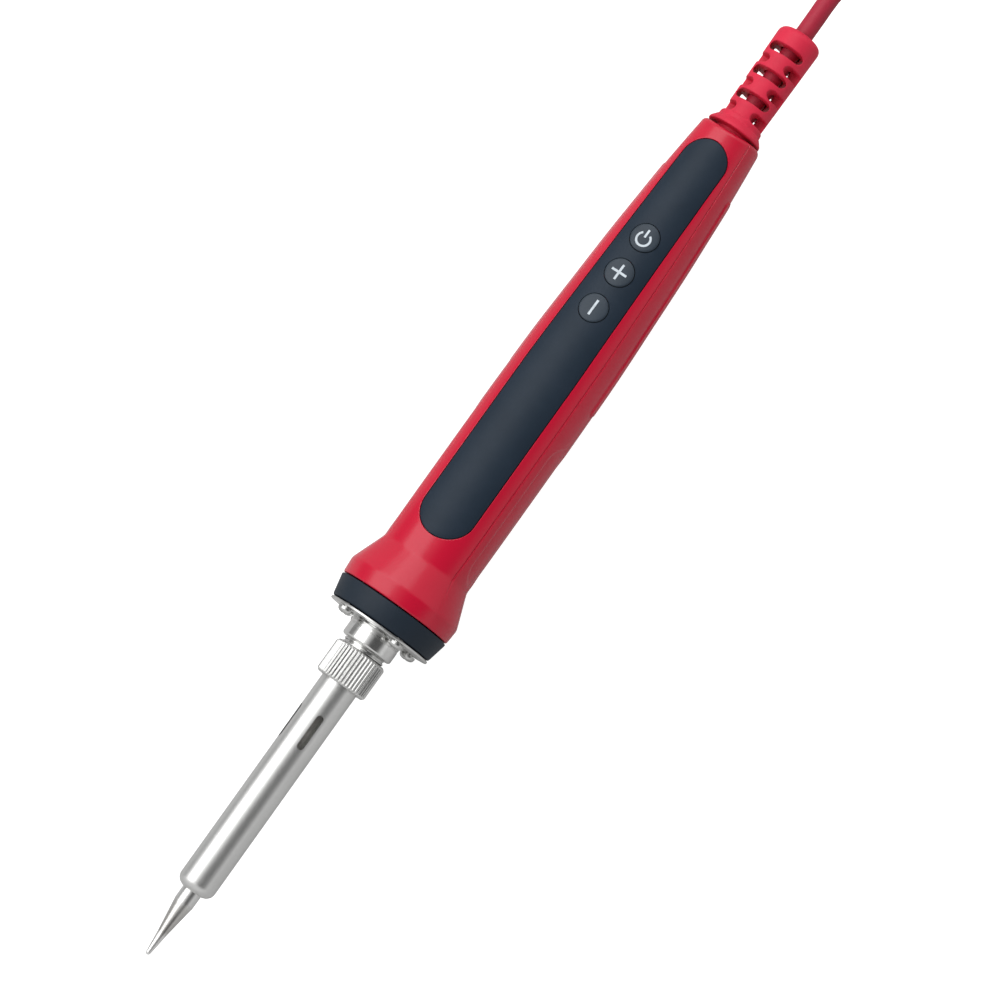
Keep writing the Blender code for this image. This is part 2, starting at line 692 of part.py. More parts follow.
def make_shells():
    upper = shell("handle_upper_shell", 1)
    lower = shell("handle_lower_shell", -1)
    for number, turn in enumerate(SCREW_TURNS, start=1):
        y, z = around_axis(turn, SCREW_CIRCLE)
        near, far = (CAP[1] + GAP, y, z), (BOSS_END, y, z)
        boss = cylinder(f"plate_boss_{number}", near, far, BOSS_RADIUS, steps=12)
        join(upper if z > 0 else lower, boss)
    for number, x in enumerate(CASE_SCREWS, start=1):
        wall_middle = handle_radius(x) - HANDLE_WALL / 2 - PANEL_THICKNESS
        for half, side, radius in ((upper, 1, UPPER_BOSS_RADIUS), (lower, -1, LOWER_BOSS_RADIUS)):
            near, far = (x, 0, side * GAP / 2), (x, 0, side * wall_middle)
            join(half, cylinder(f"{half.name}_case_boss_{number}", near, far, radius, steps=12))
    for number, x in enumerate(BOARD_SCREWS, start=1):
        top = BOARD_TOP - BOARD_THICKNESS - GAP
        wall_middle = handle_radius(x) - HANDLE_WALL / 2
        boss = cylinder(f"board_boss_{number}", (x, 0, top), (x, 0, -wall_middle), BOARD_BOSS_RADIUS, steps=12)
        join(lower, boss)
    low, high = (CLAMP[0], -CLAMP_HALF_WIDTH, -SADDLE_DEPTH), (CLAMP[1], CLAMP_HALF_WIDTH, -CLAMP_LIFT)
    join(lower, box("cord_saddle", low, high))

    pocket = prism("panel_pocket", [panel_outline(GAP)], 20.0, None, (0, 0, 10.0))
    cut(pocket, handle_core("pocket_floor", PANEL_THICKNESS + GAP))
    cut(upper, pocket)
    start, end = DISPLAY
    low = (start - 1.0, GAP - DISPLAY_HALF_WIDTH, WINDOW_BOTTOM)
    cut(upper, box("display_window", low, (end + 1.0, DISPLAY_HALF_WIDTH - GAP, OUTSIDE)))
    for name, x in BUTTONS:
        cut(upper, cylinder(f"{name}_shell_hole", (x, 0, 4), (x, 0, OUTSIDE), BUTTON_RADIUS + GAP))
    for number, turn in enumerate(SCREW_TURNS, start=1):
        half = upper if math.cos(math.radians(turn)) > 0.0 else lower
        cut(half, bpy.data.objects[f"plate_screw_hole_{number}"])
    for number, x in enumerate(CASE_SCREWS, start=1):
        hole, seat = CASE_SCREW_RADIUS + GAP, -CASE_SCREW_SEAT
        top = CASE_SCREW_TOP + GAP
        cut(upper, cylinder(f"upper_case_hole_{number}", (x, 0, -1), (x, 0, top), hole, steps=12))
        cut(lower, cylinder(f"lower_case_hole_{number}", (x, 0, 1), (x, 0, seat - 4), hole, steps=12))
        head_hole = cylinder(f"case_head_hole_{number}", (x, 0, seat), (x, 0, -OUTSIDE), 2.4, steps=12)
        cut(lower, head_hole)
        screw(f"case_screw_{number}", x, 0, seat - GAP, 2.1, 1.4, CASE_SCREW_RADIUS, CASE_SCREW_TOP)
    for number, x in enumerate(BOARD_SCREWS, start=1):
        low = (x, 0, BLIND_SCREW_TIP - 0.4)
        cut(lower, cylinder(f"board_screw_hole_{number}", (x, 0, 1), low, BOARD_SCREW_RADIUS + GAP, steps=12))
    cut(lower, cylinder("cord_groove", (CLAMP[0] - 1, 0, 0), (CLAMP[1] + 1, 0, 0), CORD_RADIUS + GAP))
    for number, side in enumerate((1, -1), start=1):
        high = (CLAMP_MIDDLE, side * CLAMP_SCREW_Y, 1)
        low = (CLAMP_MIDDLE, side * CLAMP_SCREW_Y, BLIND_SCREW_TIP - 0.4)
        cut(lower, cylinder(f"clamp_hole_{number}", high, low, CLAMP_SCREW_RADIUS + GAP, steps=12))


def make_panel():
    panel = prism("control_panel", [panel_outline(0.0)], 20.0, SLATE_PLASTIC, (0, 0, 10.0), smooth=20.0)
    combine(panel, handle_core("panel_face", 0.0), "INTERSECT")
    cut(panel, handle_core("panel_back", PANEL_THICKNESS))
    for name, x in BUTTONS:
        cut(panel, cylinder(f"{name}_hole", (x, 0, 0), (x, 0, OUTSIDE), BUTTON_RADIUS + GAP, steps=24))


def make_buttons():
    for name, x in BUTTONS:
        face = handle_radius(x) + BUTTON_PROUD
        flange = handle_radius(x) - BUTTON_FLANGE_DROP
        under = flange - BUTTON_FLANGE_HEIGHT
        profile = [(face, 0.0), (face, BUTTON_RADIUS - 0.3), (face - 0.3, BUTTON_RADIUS)]
        profile += [(flange, BUTTON_RADIUS), (flange, BUTTON_FLANGE_RADIUS), (under, BUTTON_FLANGE_RADIUS)]
        profile += [(under, BUTTON_STEM_RADIUS), (PLUNGER_TOP + GAP, BUTTON_STEM_RADIUS)]
        profile += [(PLUNGER_TOP + GAP, 0.0)]
        turned(name, profile, BUTTON_PLASTIC, steps=24, location=(x, 0, 0), upright=True)
        switch = name.replace("button", "switch")
        half = SWITCH_SIZE / 2
        low = BOARD_TOP + GAP
        housing = box(switch, (x - half, -half, low), (x + half, half, low + SWITCH_HEIGHT), BLACK_PLASTIC)
        well = cylinder(f"{switch}_well", (x, 0, SWITCH_WELL_BOTTOM), (x, 0, OUTSIDE), PLUNGER_RADIUS + GAP)
        cut(housing, well)
        plunger = f"{switch}_plunger"
        cylinder(plunger, (x, 0, PLUNGER_BOTTOM), (x, 0, PLUNGER_TOP), PLUNGER_RADIUS, BUTTON_PLASTIC)


def make_board():
    bottom = BOARD_TOP - BOARD_THICKNESS
    start, end = BOARD
    low, high = (start, -BOARD_HALF_WIDTH, bottom), (end, BOARD_HALF_WIDTH, BOARD_TOP)
    board = box("circuit_board", low, high, BOARD_GREEN)
    over = BOARD_TOP + GAP
    under = bottom - GAP
    for number, x in enumerate(BOARD_SCREWS, start=1):
        hole = BOARD_SCREW_RADIUS + GAP
        cut(board, cylinder(f"board_hole_{number}", (x, 0, -OUTSIDE), (x, 0, OUTSIDE), hole, steps=12))
        screw(f"board_screw_{number}", x, 0, over, 1.8, 1.1, BOARD_SCREW_RADIUS, BLIND_SCREW_TIP)
    low = (DISPLAY[0], -DISPLAY_HALF_WIDTH, over)
    box("display_module", low, (DISPLAY[1], DISPLAY_HALF_WIDTH, DISPLAY_TOP), BLACK_PLASTIC, CORNER_BEVEL)
    for name, start, end, half_width, tall, finish in UNDERSIDE_COMPONENTS:
        low, high = (start, -half_width, under - tall), (end, half_width, under)
        box(name, low, high, CAPACITOR_FILM if finish == "film" else BLACK_PLASTIC, CORNER_BEVEL)


def make_clamp():
    start, end = CLAMP
    groove = CORD_RADIUS + GAP
    low, high = (start, -CLAMP_HALF_WIDTH, CLAMP_LIFT), (end, CLAMP_HALF_WIDTH, CLAMP_TOP)
    clamp = box("cord_clamp", low, high, BLACK_PLASTIC)
    join(clamp, cylinder("clamp_arch", (start, 0, 0), (end, 0, 0), groove + CLAMP_WALL, steps=24))
    cut(clamp, cylinder("clamp_groove", (start - 1, 0, 0), (end + 1, 0, 0), groove, steps=24))
    cut(clamp, box("clamp_trim", (start - 1, -OUTSIDE, -OUTSIDE), (end + 1, OUTSIDE, CLAMP_LIFT)))
    for number, side in enumerate((1, -1), start=1):
        y = side * CLAMP_SCREW_Y
        low, high = (CLAMP_MIDDLE, y, 0), (CLAMP_MIDDLE, y, OUTSIDE)
        cut(clamp, cylinder(f"clamp_bar_hole_{number}", low, high, CLAMP_SCREW_RADIUS + GAP, steps=12))
        seat = CLAMP_TOP + GAP
        screw(f"clamp_screw_{number}", CLAMP_MIDDLE, y, seat, 1.1, 1.0, CLAMP_SCREW_RADIUS, BLIND_SCREW_TIP)


def make_boot():
    profile = [(BOOT_END, BOOT_BORE), (BOOT_END, BOOT_RADIUS - 1.9)]
    profile += arc((BOOT_END - 1.9, BOOT_RADIUS - 1.9), 1.9, 0.0, 90.0, 4)
    ring_start, ring_end = BOOT_RING
    profile += [(BOOT_SHOULDER_END, BOOT_RADIUS), (ring_end, BOOT_RING_RADIUS - 0.5)]
    profile += [(ring_end - 0.7, BOOT_RING_RADIUS), (ring_start, BOOT_RING_RADIUS)]
    profile += [(ring_start, BOOT_NECK_RADIUS), (BOOT_FLANGE[1], BOOT_NECK_RADIUS)]
    profile += [(BOOT_FLANGE[1], BOOT_FLANGE_RADIUS), (BOOT_FLANGE[0], BOOT_FLANGE_RADIUS)]
    profile += [(BOOT_FLANGE[0], BOOT_BORE)]
    boot = turned("strain_relief_boot", profile, RED_RUBBER)
    half = BOOT_SLOT_WIDTH / 2
    for stations, up in ((BOOT_SIDE_SLOTS, 1), (BOOT_FACE_SLOTS, -1)):
        bottom, top = sorted((up * OUTSIDE, -up * GAP))
        for x in stations:
            for side in (1, -1):
                near, far = sorted((side * BOOT_BRIDGE_HALF_WIDTH, side * OUTSIDE))
                low, high = (x - half, near, bottom), (x + half, far, top)
                cut(boot, box(f"boot_side_slot_{x:.0f}_{side}", low, high))
            low = (x - half, -BOOT_FACE_SLOT_Y, -top)
            high = (x + half, BOOT_FACE_SLOT_Y, -bottom)
            cut(boot, box(f"boot_face_slot_{x:.0f}", low, high))


def make_cord():
    start, end = INNER_CORD
    cylinder("inner_cord", (start, 0, 0), (end, 0, 0), CORD_RADIUS, CORD_SHEATH)
    for number, (side, finish) in enumerate(((1, CONDUCTOR_BROWN), (-1, CONDUCTOR_BLUE)), start=1):
        spots = [
            (start - 0.8, side * 1.2, 0.3),
            (start - 2.2, side * 2.8, 1.2),
            (start - 4.2, side * 4.2, 2.3),
            (start - 7.2, side * 4.9, 2.9),
            (start - 10.0, side * 4.9, BOARD_TOP + GAP + CONDUCTOR_RADIUS),
        ]
        wire(f"cord_conductor_{number}", smooth_route(spots, 1.5), CONDUCTOR_RADIUS, finish)
    wire("power_cord", smooth_route(CORD_ROUTE, 7.0), CORD_RADIUS, CORD_SHEATH)
    hank_end = HANK_START + HANK_RUN
    width = HANK_OUTER_FOLD + CORD_RADIUS
    outline = arc((hank_end, HANK_Y), width, -90.0, 90.0, 16)
    outline += arc((HANK_START, HANK_Y), width, 90.0, 270.0, 16)
    middle = (HANK_BOTTOM + HANK_TOP) / 2
    prism("cord_hank", [outline], HANK_TOP - HANK_BOTTOM, CORD_SHEATH, (0, 0, middle))


def make_tie():
    half_width = HANK_OUTER_FOLD + CORD_RADIUS + GAP
    half_height = (HANK_TOP - HANK_BOTTOM) / 2 + GAP
    outlines = [
        rounded_outline(half_height + TIE_THICKNESS, half_width + TIE_THICKNESS, GAP + TIE_THICKNESS),
        rounded_outline(half_height, half_width, GAP),
    ]
    place_of_tie = (HANK_START + HANK_RUN / 2, HANK_Y, (HANK_TOP + HANK_BOTTOM) / 2)
    prism("cord_tie", outlines, TIE_WIDTH, TIE_FABRIC, place_of_tie, (0, math.pi / 2, 0))


def make_plug():
    hank_end = HANK_START + HANK_RUN
    tie_top = HANK_TOP + GAP + TIE_THICKNESS
    level = tie_top + GAP + PLUG_HALF_HEIGHT
    rear = hank_end - 1.0
    shoulder = rear - PLUG_RELIEF_LENGTH
    face = shoulder - PLUG_BODY_LENGTH
    tail_level = tie_top + GAP + CORD_RADIUS
    first_y = HANK_Y - HANK_OUTER_FOLD
    fold_y = first_y + TAIL_FOLD
    spots = [(HANK_START - 2.0, first_y, tail_level), (HANK_START + HANK_RUN / 2, first_y, tail_level)]
    for x, y in arc((hank_end, fold_y), TAIL_FOLD, -90.0, 90.0, 8):
        rise = (y - first_y) / (2 * TAIL_FOLD)
        spots.append((x, y, tail_level + (level - tail_level) * rise))
    spots.append((rear + GAP, PLUG_Y, level))
    wire("cord_tail", smooth_route(spots, 8.0), CORD_RADIUS, CORD_SHEATH)

    half_body = rounded_outline(PLUG_HALF_HEIGHT, PLUG_HALF_WIDTH, 3.5)
    body = prism(
        "plug_body", [half_body], PLUG_BODY_LENGTH, BLACK_PLASTIC,
        ((face + shoulder) / 2, PLUG_Y, level), (0, math.pi / 2, 0),
    )
    wide, slim = PLUG_RELIEF_RADII
    cone = [(rear, 0.0), (rear, slim), (shoulder - 1.0, wide), (shoulder - 1.0, 0.0)]
    join(body, turned("plug_relief", cone, steps=16, location=(0, PLUG_Y, level)))
    long, thick, tall = BLADE_SIZE
    for number, side in enumerate((1, -1), start=1):
        y = PLUG_Y + side * BLADE_SPACING / 2
        low = (face - GAP - long, y - thick / 2, level - tall / 2)
        box(f"plug_blade_{number}", low, (face - GAP, y + thick / 2, level + tall / 2), BRASS, CORNER_BEVEL)


make_tip()
make_heater()
make_barrel()
make_nut()
make_collar()
make_front()
make_shells()
make_panel()
make_buttons()
make_board()
make_clamp()
make_boot()
make_cord()
make_tie()
make_plug()
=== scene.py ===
"""The finished look of the soldering iron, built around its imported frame.

Shapes are given in millimetres from the iron's own axis, as in the CAD: x is the distance from the point
of the tip, and y and z are measured from the axis. Where pieces lie comes from the frame's own boxes.
"""
import math

import bmesh
import bpy
from mathutils import Matrix, Vector


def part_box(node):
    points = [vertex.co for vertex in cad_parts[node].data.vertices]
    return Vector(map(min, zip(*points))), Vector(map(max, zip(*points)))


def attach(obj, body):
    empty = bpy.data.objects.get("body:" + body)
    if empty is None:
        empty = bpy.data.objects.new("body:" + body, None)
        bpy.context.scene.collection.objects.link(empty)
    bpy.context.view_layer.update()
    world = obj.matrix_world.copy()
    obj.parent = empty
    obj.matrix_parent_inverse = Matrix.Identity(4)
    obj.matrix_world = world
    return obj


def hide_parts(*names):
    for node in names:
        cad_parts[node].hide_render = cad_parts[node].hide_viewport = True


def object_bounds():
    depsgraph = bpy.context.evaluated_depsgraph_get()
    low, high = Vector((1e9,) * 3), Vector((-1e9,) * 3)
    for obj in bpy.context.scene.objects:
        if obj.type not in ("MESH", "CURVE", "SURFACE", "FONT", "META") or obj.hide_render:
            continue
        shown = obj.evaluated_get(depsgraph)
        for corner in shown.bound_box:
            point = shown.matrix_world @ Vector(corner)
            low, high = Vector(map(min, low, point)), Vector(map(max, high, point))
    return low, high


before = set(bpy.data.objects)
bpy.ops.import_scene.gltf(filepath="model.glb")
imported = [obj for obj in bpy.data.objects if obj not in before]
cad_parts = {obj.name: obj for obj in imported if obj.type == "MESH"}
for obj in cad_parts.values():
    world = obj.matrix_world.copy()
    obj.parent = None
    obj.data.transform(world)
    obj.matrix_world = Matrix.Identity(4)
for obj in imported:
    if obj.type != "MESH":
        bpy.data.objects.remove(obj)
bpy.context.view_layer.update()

MM = 0.001
GAP = 0.3
TIP_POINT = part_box("soldering_tip")[0]
FLANGE_LOW, FLANGE_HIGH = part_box("front_plate")
AXIS = Vector((TIP_POINT.x, (FLANGE_LOW.y + FLANGE_HIGH.y) / 2, (FLANGE_LOW.z + FLANGE_HIGH.z) / 2))


def at(x, y, z):
    """A place measured from the iron's axis in millimetres, in the frame's metres."""
    return AXIS + Vector((x, y, z)) * MM


def along(node):
    """Where a CAD node starts and ends along the iron's axis, in millimetres."""
    low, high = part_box(node)
    return (low.x - AXIS.x) / MM, (high.x - AXIS.x) / MM


def middle_of(node):
    """The middle of a CAD node, in millimetres from the axis."""
    low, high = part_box(node)
    return ((low + high) / 2 - AXIS) / MM


def placed(name, data):
    """A new object in the scene."""
    item = bpy.data.objects.new(name, data)
    bpy.context.scene.collection.objects.link(item)
    return item


# ---------------------------------------------------------------- camera

CAMERA_TILT = math.radians(5.5)  # towards the tip
CAMERA_ROLL = math.radians(15.0)  # towards -Y
CAMERA_TURN = math.radians(54.48)  # the iron's axis from the picture's horizontal
CAMERA_DISTANCE = 0.934
CAMERA_LENS = 137.1
AIM_X = 141.0
AIM_SHIFT = (-1.4, -5.66)  # along and across the iron, as the camera sees it


def make_camera():
    back = Vector(
        (
            -math.sin(CAMERA_TILT),
            -math.sin(CAMERA_ROLL) * math.cos(CAMERA_TILT),
            math.cos(CAMERA_ROLL) * math.cos(CAMERA_TILT),
        )
    )
    lengthwise = Vector((1.0, 0.0, 0.0))
    lengthwise = (lengthwise - back * back.x).normalized()
    across = back.cross(lengthwise)
    right = lengthwise * math.cos(CAMERA_TURN) - across * math.sin(CAMERA_TURN)
    up = lengthwise * math.sin(CAMERA_TURN) + across * math.cos(CAMERA_TURN)
    aim = at(AIM_X, 0.0, 0.0) + (lengthwise * AIM_SHIFT[0] + across * AIM_SHIFT[1]) * MM
    lens = bpy.data.cameras.new("camera")
    lens.lens = CAMERA_LENS
    lens.sensor_width = 36.0
    lens.clip_start = 0.05
    camera = placed("camera", lens)
    matrix = Matrix((right, up, back)).transposed().to_4x4()
    matrix.translation = aim + back * CAMERA_DISTANCE
    camera.matrix_world = matrix
    bpy.context.scene.camera = camera


make_camera()


# ---------------------------------------------------------------- materials


def link(tree, source, output, target, socket):
    tree.links.new(source.outputs[output], target.inputs[socket])


def mapped(tree, stretch):
    """Object coordinates, stretched so that marks run along the axis with the smaller number."""
    where = tree.nodes.new("ShaderNodeTexCoord")
    mapping = tree.nodes.new("ShaderNodeMapping")
    mapping.inputs["Scale"].default_value = stretch
    link(tree, where, "Object", mapping, "Vector")
    return mapping


def noise(tree, mapping, scale, detail=3.0, rough=0.5):
    made = tree.nodes.new("ShaderNodeTexNoise")
    made.inputs["Scale"].default_value = scale
    made.inputs["Detail"].default_value = detail
    made.inputs["Roughness"].default_value = rough
    link(tree, mapping, "Vector", made, "Vector")
    return made


def ramp(tree, source, output, stops):
    """A colour ramp from (place, colour) stops."""
    made = tree.nodes.new("ShaderNodeValToRGB")
    elements = made.color_ramp.elements
    while len(elements) > len(stops):
        elements.remove(elements[-1])
    while len(elements) < len(stops):
        elements.new(0.5)
    for element, (place, colour) in zip(elements, stops):
        element.position = place
        element.color = (*colour, 1.0)
    link(tree, source, output, made, "Fac")
    return made


def spread(tree, source, output, low, high, from_low=0.3, from_high=0.7):
    made = tree.nodes.new("ShaderNodeMapRange")
    made.inputs["From Min"].default_value = from_low
    made.inputs["From Max"].default_value = from_high
    made.inputs["To Min"].default_value = low
    made.inputs["To Max"].default_value = high
    link(tree, source, output, made, "Value")
    return made


def combined(tree, operation, *values):
    """A maths node on two (node, output) values."""
    made = tree.nodes.new("ShaderNodeMath")
    made.operation = operation
    for socket, (source, output) in enumerate(values):
        link(tree, source, output, made, socket)
    return made


def vector_step(tree, operation, source, output, value=None):
    """A vector maths node on one node's output and a constant, if it takes one."""
    made = tree.nodes.new("ShaderNodeVectorMath")
    made.operation = operation
    if value is not None:
        made.inputs[1].default_value = value
    link(tree, source, output, made, 0)
    return made


def shaded(colour):
    """A slightly darker and a slightly lighter take on a colour."""
    return tuple(0.86 * part for part in colour), tuple(min(1.0, 1.1 * part) for part in colour)


def surface(
    name, colour, roughness, metallic=0.0, mottle=60.0, grain=2500.0, grain_height=0.01, stretch=(1, 1, 1),
    colours=None, sockets=None,
):
    """A finish with mottled colour, uneven roughness and fine grain in its relief.

    roughness is (lowest, highest), mottle and grain are noise scales per metre, grain_height is in
    millimetres, and sockets are the shader's own numbers that are the same all over.
    """
    made = bpy.data.materials.new(name)
    made.use_nodes = True
    tree = made.node_tree
    shader = tree.nodes["Principled BSDF"]
    shader.inputs["Metallic"].default_value = metallic
    for socket, value in (sockets or {}).items():
        shader.inputs[socket].default_value = value
    plain = mapped(tree, (1.0, 1.0, 1.0))
    marks = mapped(tree, stretch)
    broad = noise(tree, plain, mottle, 4.0, 0.6)
    low, high = colours or shaded(colour)
    tone = ramp(tree, broad, "Fac", [(0.3, low), (0.5, colour), (0.7, high)])
    link(tree, tone, "Color", shader, "Base Color")
    fine = noise(tree, marks, grain, 3.0, 0.55)
    uneven = spread(tree, fine, "Fac", *roughness)
    link(tree, uneven, "Result", shader, "Roughness")
    relief = tree.nodes.new("ShaderNodeBump")
    relief.inputs["Strength"].default_value = 1.0
    relief.inputs["Distance"].default_value = grain_height * MM
    link(tree, fine, "Fac", relief, "Height")
    link(tree, relief, "Normal", shader, "Normal")
    return made


def banded(made, stops, start, end):
    """Give a finish its colours by place along the iron, from (share of the way, colour) stops."""
    tree = made.node_tree
    shader = tree.nodes["Principled BSDF"]
    where = tree.nodes.new("ShaderNodeTexCoord")
    split = tree.nodes.new("ShaderNodeSeparateXYZ")
    link(tree, where, "Object", split, "Vector")
    share = spread(tree, split, "X", 0.0, 1.0, AXIS.x + start * MM, AXIS.x + end * MM)
    wander = noise(tree, mapped(tree, (1.0, 1.0, 1.0)), 900.0, 3.0)
    shift = spread(tree, wander, "Fac", -0.03, 0.03)
    total = combined(tree, "ADD", (share, "Result"), (shift, "Result"))
    tone = ramp(tree, total, "Value", stops)
    link(tree, tone, "Color", shader, "Base Color")
    return made


def paint_bore_shade(made, colour, radius, start):
    """Paint a tube's bore near-black as painted shade, inside that radius and beyond its start, in
    millimetres.
    """
    tree = made.node_tree
    shader = tree.nodes["Principled BSDF"]
    where = tree.nodes.new("ShaderNodeTexCoord")
    off_axis = vector_step(tree, "SUBTRACT", where, "Object", AXIS)
    across = vector_step(tree, "MULTIPLY", off_axis, "Vector", (0.0, 1.0, 1.0))
    reach = vector_step(tree, "LENGTH", across, "Vector")
    outer = spread(tree, reach, "Value", 0.0, 1.0, radius * MM, (radius + 0.1) * MM)
    split = tree.nodes.new("ShaderNodeSeparateXYZ")
    link(tree, off_axis, "Vector", split, "Vector")
    nose = spread(tree, split, "X", 1.0, 0.0, start * MM, (start + 0.2) * MM)
    share = combined(tree, "MAXIMUM", (outer, "Result"), (nose, "Result"))
    mix = tree.nodes.new("ShaderNodeMix")
    mix.data_type = "RGBA"
    mix.inputs[6].default_value = (*colour, 1.0)
    link(tree, share, "Value", mix, 0)
    tree.links.new(shader.inputs["Base Color"].links[0].from_socket, mix.inputs[7])
    tree.links.new(mix.outputs[2], shader.inputs["Base Color"])
    return made


RED = surface(
    "crimson_plastic", (0.52, 0.005, 0.030), (0.2, 0.27), mottle=25.0, grain=5000.0, grain_height=0.0015,
    colours=((0.49, 0.004, 0.027), (0.55, 0.006, 0.033)), sockets={"Specular IOR Level": 0.42},
)
RUBBER = surface(
    "crimson_rubber", (0.60, 0.014, 0.048), (0.5, 0.68), mottle=90.0, grain=4500.0, grain_height=0.02,
    sockets={"Specular IOR Level": 0.35},
)
SHEATH = surface(
    "dark_crimson_sheath", (0.38, 0.014, 0.04), (0.48, 0.62), mottle=50.0, grain=2600.0, grain_height=0.02,
    sockets={"Specular IOR Level": 0.35},
)
SLATE = surface(
    "slate_soft_touch", (0.010, 0.020, 0.034), (0.42, 0.55), mottle=120.0, grain=9000.0, grain_height=0.008,
    colours=((0.009, 0.018, 0.031), (0.012, 0.022, 0.037)), sockets={"Specular IOR Level": 0.22},
)
CAP_SLATE = surface(
    "slate_moulded", (0.010, 0.018, 0.029), (0.46, 0.6), mottle=120.0, grain=7000.0, grain_height=0.015,
    sockets={"Specular IOR Level": 0.25},
)
KEY = surface(
    "key_soft_touch", (0.022, 0.034, 0.049), (0.4, 0.52), mottle=200.0, grain=9000.0, grain_height=0.006,
    sockets={"Specular IOR Level": 0.35},
)
LEGEND = surface(
    "legend_ink", (0.55, 0.61, 0.66), (0.5, 0.6), mottle=400.0, grain=9000.0, grain_height=0.004,
)
BLACK = surface(
    "black_moulded", (0.012, 0.012, 0.013), (0.35, 0.5), mottle=80.0, grain=5000.0, grain_height=0.015,
)
TACT = surface("switch_plastic", (0.05, 0.05, 0.055), (0.4, 0.5), mottle=300.0, grain=6000.0)
# painted shade: the sleeve's bore, inside 4.55 mm and beyond 22 mm from the tip, is painted near-black
SATIN = paint_bore_shade(
    surface(
        "satin_steel", (0.70, 0.70, 0.69), (0.33, 0.4), 1.0, mottle=40.0, grain=2500.0, grain_height=0.0008,
        colours=((0.68, 0.68, 0.67), (0.72, 0.72, 0.71)),
    ),
    (0.018, 0.017, 0.016), 4.55, 22.0,
)
PLATE_STEEL = surface(
    "plate_steel", (0.66, 0.66, 0.65), (0.28, 0.36), 1.0, mottle=60.0, grain=3000.0, grain_height=0.001,
)
POLISHED = surface(
    "polished_steel", (0.74, 0.74, 0.73), (0.16, 0.24), 1.0, mottle=200.0, grain=60.0, grain_height=0.001,
    stretch=(50.0, 1.0, 1.0),
)
SCREW_STEEL = surface(
    "screw_steel", (0.58, 0.58, 0.57), (0.2, 0.3), 1.0, mottle=400.0, grain=3000.0, grain_height=0.002,
)
KNURLED = surface(
    "knurled_steel", (0.66, 0.66, 0.65), (0.22, 0.3), 1.0, mottle=100.0, grain=3000.0, grain_height=0.0005,
)
PLATING = banded(
    surface(
        "tip_plating", (0.5, 0.49, 0.47), (0.26, 0.38), 1.0, mottle=700.0, grain=60.0, grain_height=0.004,
        stretch=(1.0, 30.0, 30.0),
    ),
    [
        (0.0, (0.80, 0.80, 0.79)), (0.30, (0.76, 0.75, 0.74)), (0.36, (0.50, 0.49, 0.47)),
        (0.75, (0.60, 0.59, 0.57)), (0.82, (0.74, 0.74, 0.73)),
    ],
    0.0, 19.0,
)
BRASS = surface(
    "brass", (0.70, 0.50, 0.22), (0.2, 0.32), 1.0, mottle=150.0, grain=60.0, grain_height=0.003,
    stretch=(1.0, 1.0, 40.0),
)
CERAMIC = surface("fired_ceramic", (0.78, 0.76, 0.71), (0.4, 0.55), mottle=300.0, grain=5000.0)
BOARD = surface("solder_mask", (0.02, 0.15, 0.06), (0.25, 0.4), mottle=500.0, grain=1500.0, grain_height=0.01)
SLEEVE = surface(
    "woven_sleeve", (0.66, 0.62, 0.5), (0.7, 0.85), mottle=900.0, grain=4000.0, grain_height=0.06,
    stretch=(2.0, 1.0, 1.0),
)
BROWN = surface("brown_insulation", (0.11, 0.045, 0.02), (0.35, 0.5), mottle=200.0)
BLUE = surface("blue_insulation", (0.02, 0.09, 0.36), (0.35, 0.5), mottle=200.0)
FABRIC = surface(
    "hook_and_loop", (0.016, 0.016, 0.018), (0.8, 0.95), mottle=800.0, grain=3500.0, grain_height=0.12,
    sockets={"Sheen Weight": 0.4},
)
FILM = surface("capacitor_film", (0.42, 0.025, 0.045), (0.3, 0.42), mottle=150.0)

CARRIED = {
    "heater_rod": CERAMIC, "heater_base": CERAMIC, "heater_lead_1": SLEEVE, "heater_lead_2": SLEEVE,
    "sensor_lead_1": SLEEVE, "sensor_lead_2": SLEEVE, "circuit_board": BOARD, "display_module": BLACK,
    "controller_chip": BLACK, "triac": BLACK, "filter_capacitor": FILM, "minus_switch": TACT,
    "plus_switch": TACT, "power_switch": TACT, "minus_switch_plunger": KEY, "plus_switch_plunger": KEY,
    "power_switch_plunger": KEY, "board_screw_1": POLISHED, "board_screw_2": POLISHED,
    "cord_clamp": BLACK, "clamp_screw_1": POLISHED, "clamp_screw_2": POLISHED, "inner_cord": SHEATH,
    "cord_conductor_1": BROWN, "cord_conductor_2": BLUE,
}
for node, finish in CARRIED.items():
    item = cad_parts[node]
    item.data.materials.clear()
    item.data.materials.append(finish)


# ---------------------------------------------------------------- shapes


def as_object(name, form):
    bmesh.ops.recalc_face_normals(form, faces=form.faces)
    mesh = bpy.data.meshes.new(name)
    form.to_mesh(mesh)
    form.free()
    return placed(name, mesh)


def settle(item, finish, body, slot, *nodes, smooth=35.0):
    """Give a piece its finish and its body, and let it stand for its CAD nodes."""
    item.data.materials.clear()
    item.data.materials.append(finish)
    if item.type == "MESH":
        item.data.shade_smooth()
        item.data.set_sharp_from_angle(angle=math.radians(smooth))
    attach(item, body)
    if nodes:
        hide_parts(*nodes)
    return item


def bridge(form, low, high, closed=True):
    """Faces between two rings, either of which may be a single point."""
    count = max(len(low), len(high))
    for step in range(count if closed else count - 1):
        after = (step + 1) % count
        corners = [low[step % len(low)], low[after % len(low)]]
        corners += [high[after % len(high)], high[step % len(high)]]
        form.faces.new(list(dict.fromkeys(corners)))


def loft(name, rings, capped=False, looped=False, weld=0.0):
    """A solid through rings of places; a ring may be a single point."""
    form = bmesh.new()
    rings = [[form.verts.new(place) for place in ring] for ring in rings]
    if looped:
        rings.append(rings[0])
    for low, high in zip(rings, rings[1:]):
        bridge(form, low, high)
    if capped:
        form.faces.new(rings[0])
        form.faces.new(rings[-1])
    if weld:
        bmesh.ops.remove_doubles(form, verts=form.verts, dist=weld)
    return as_object(name, form)


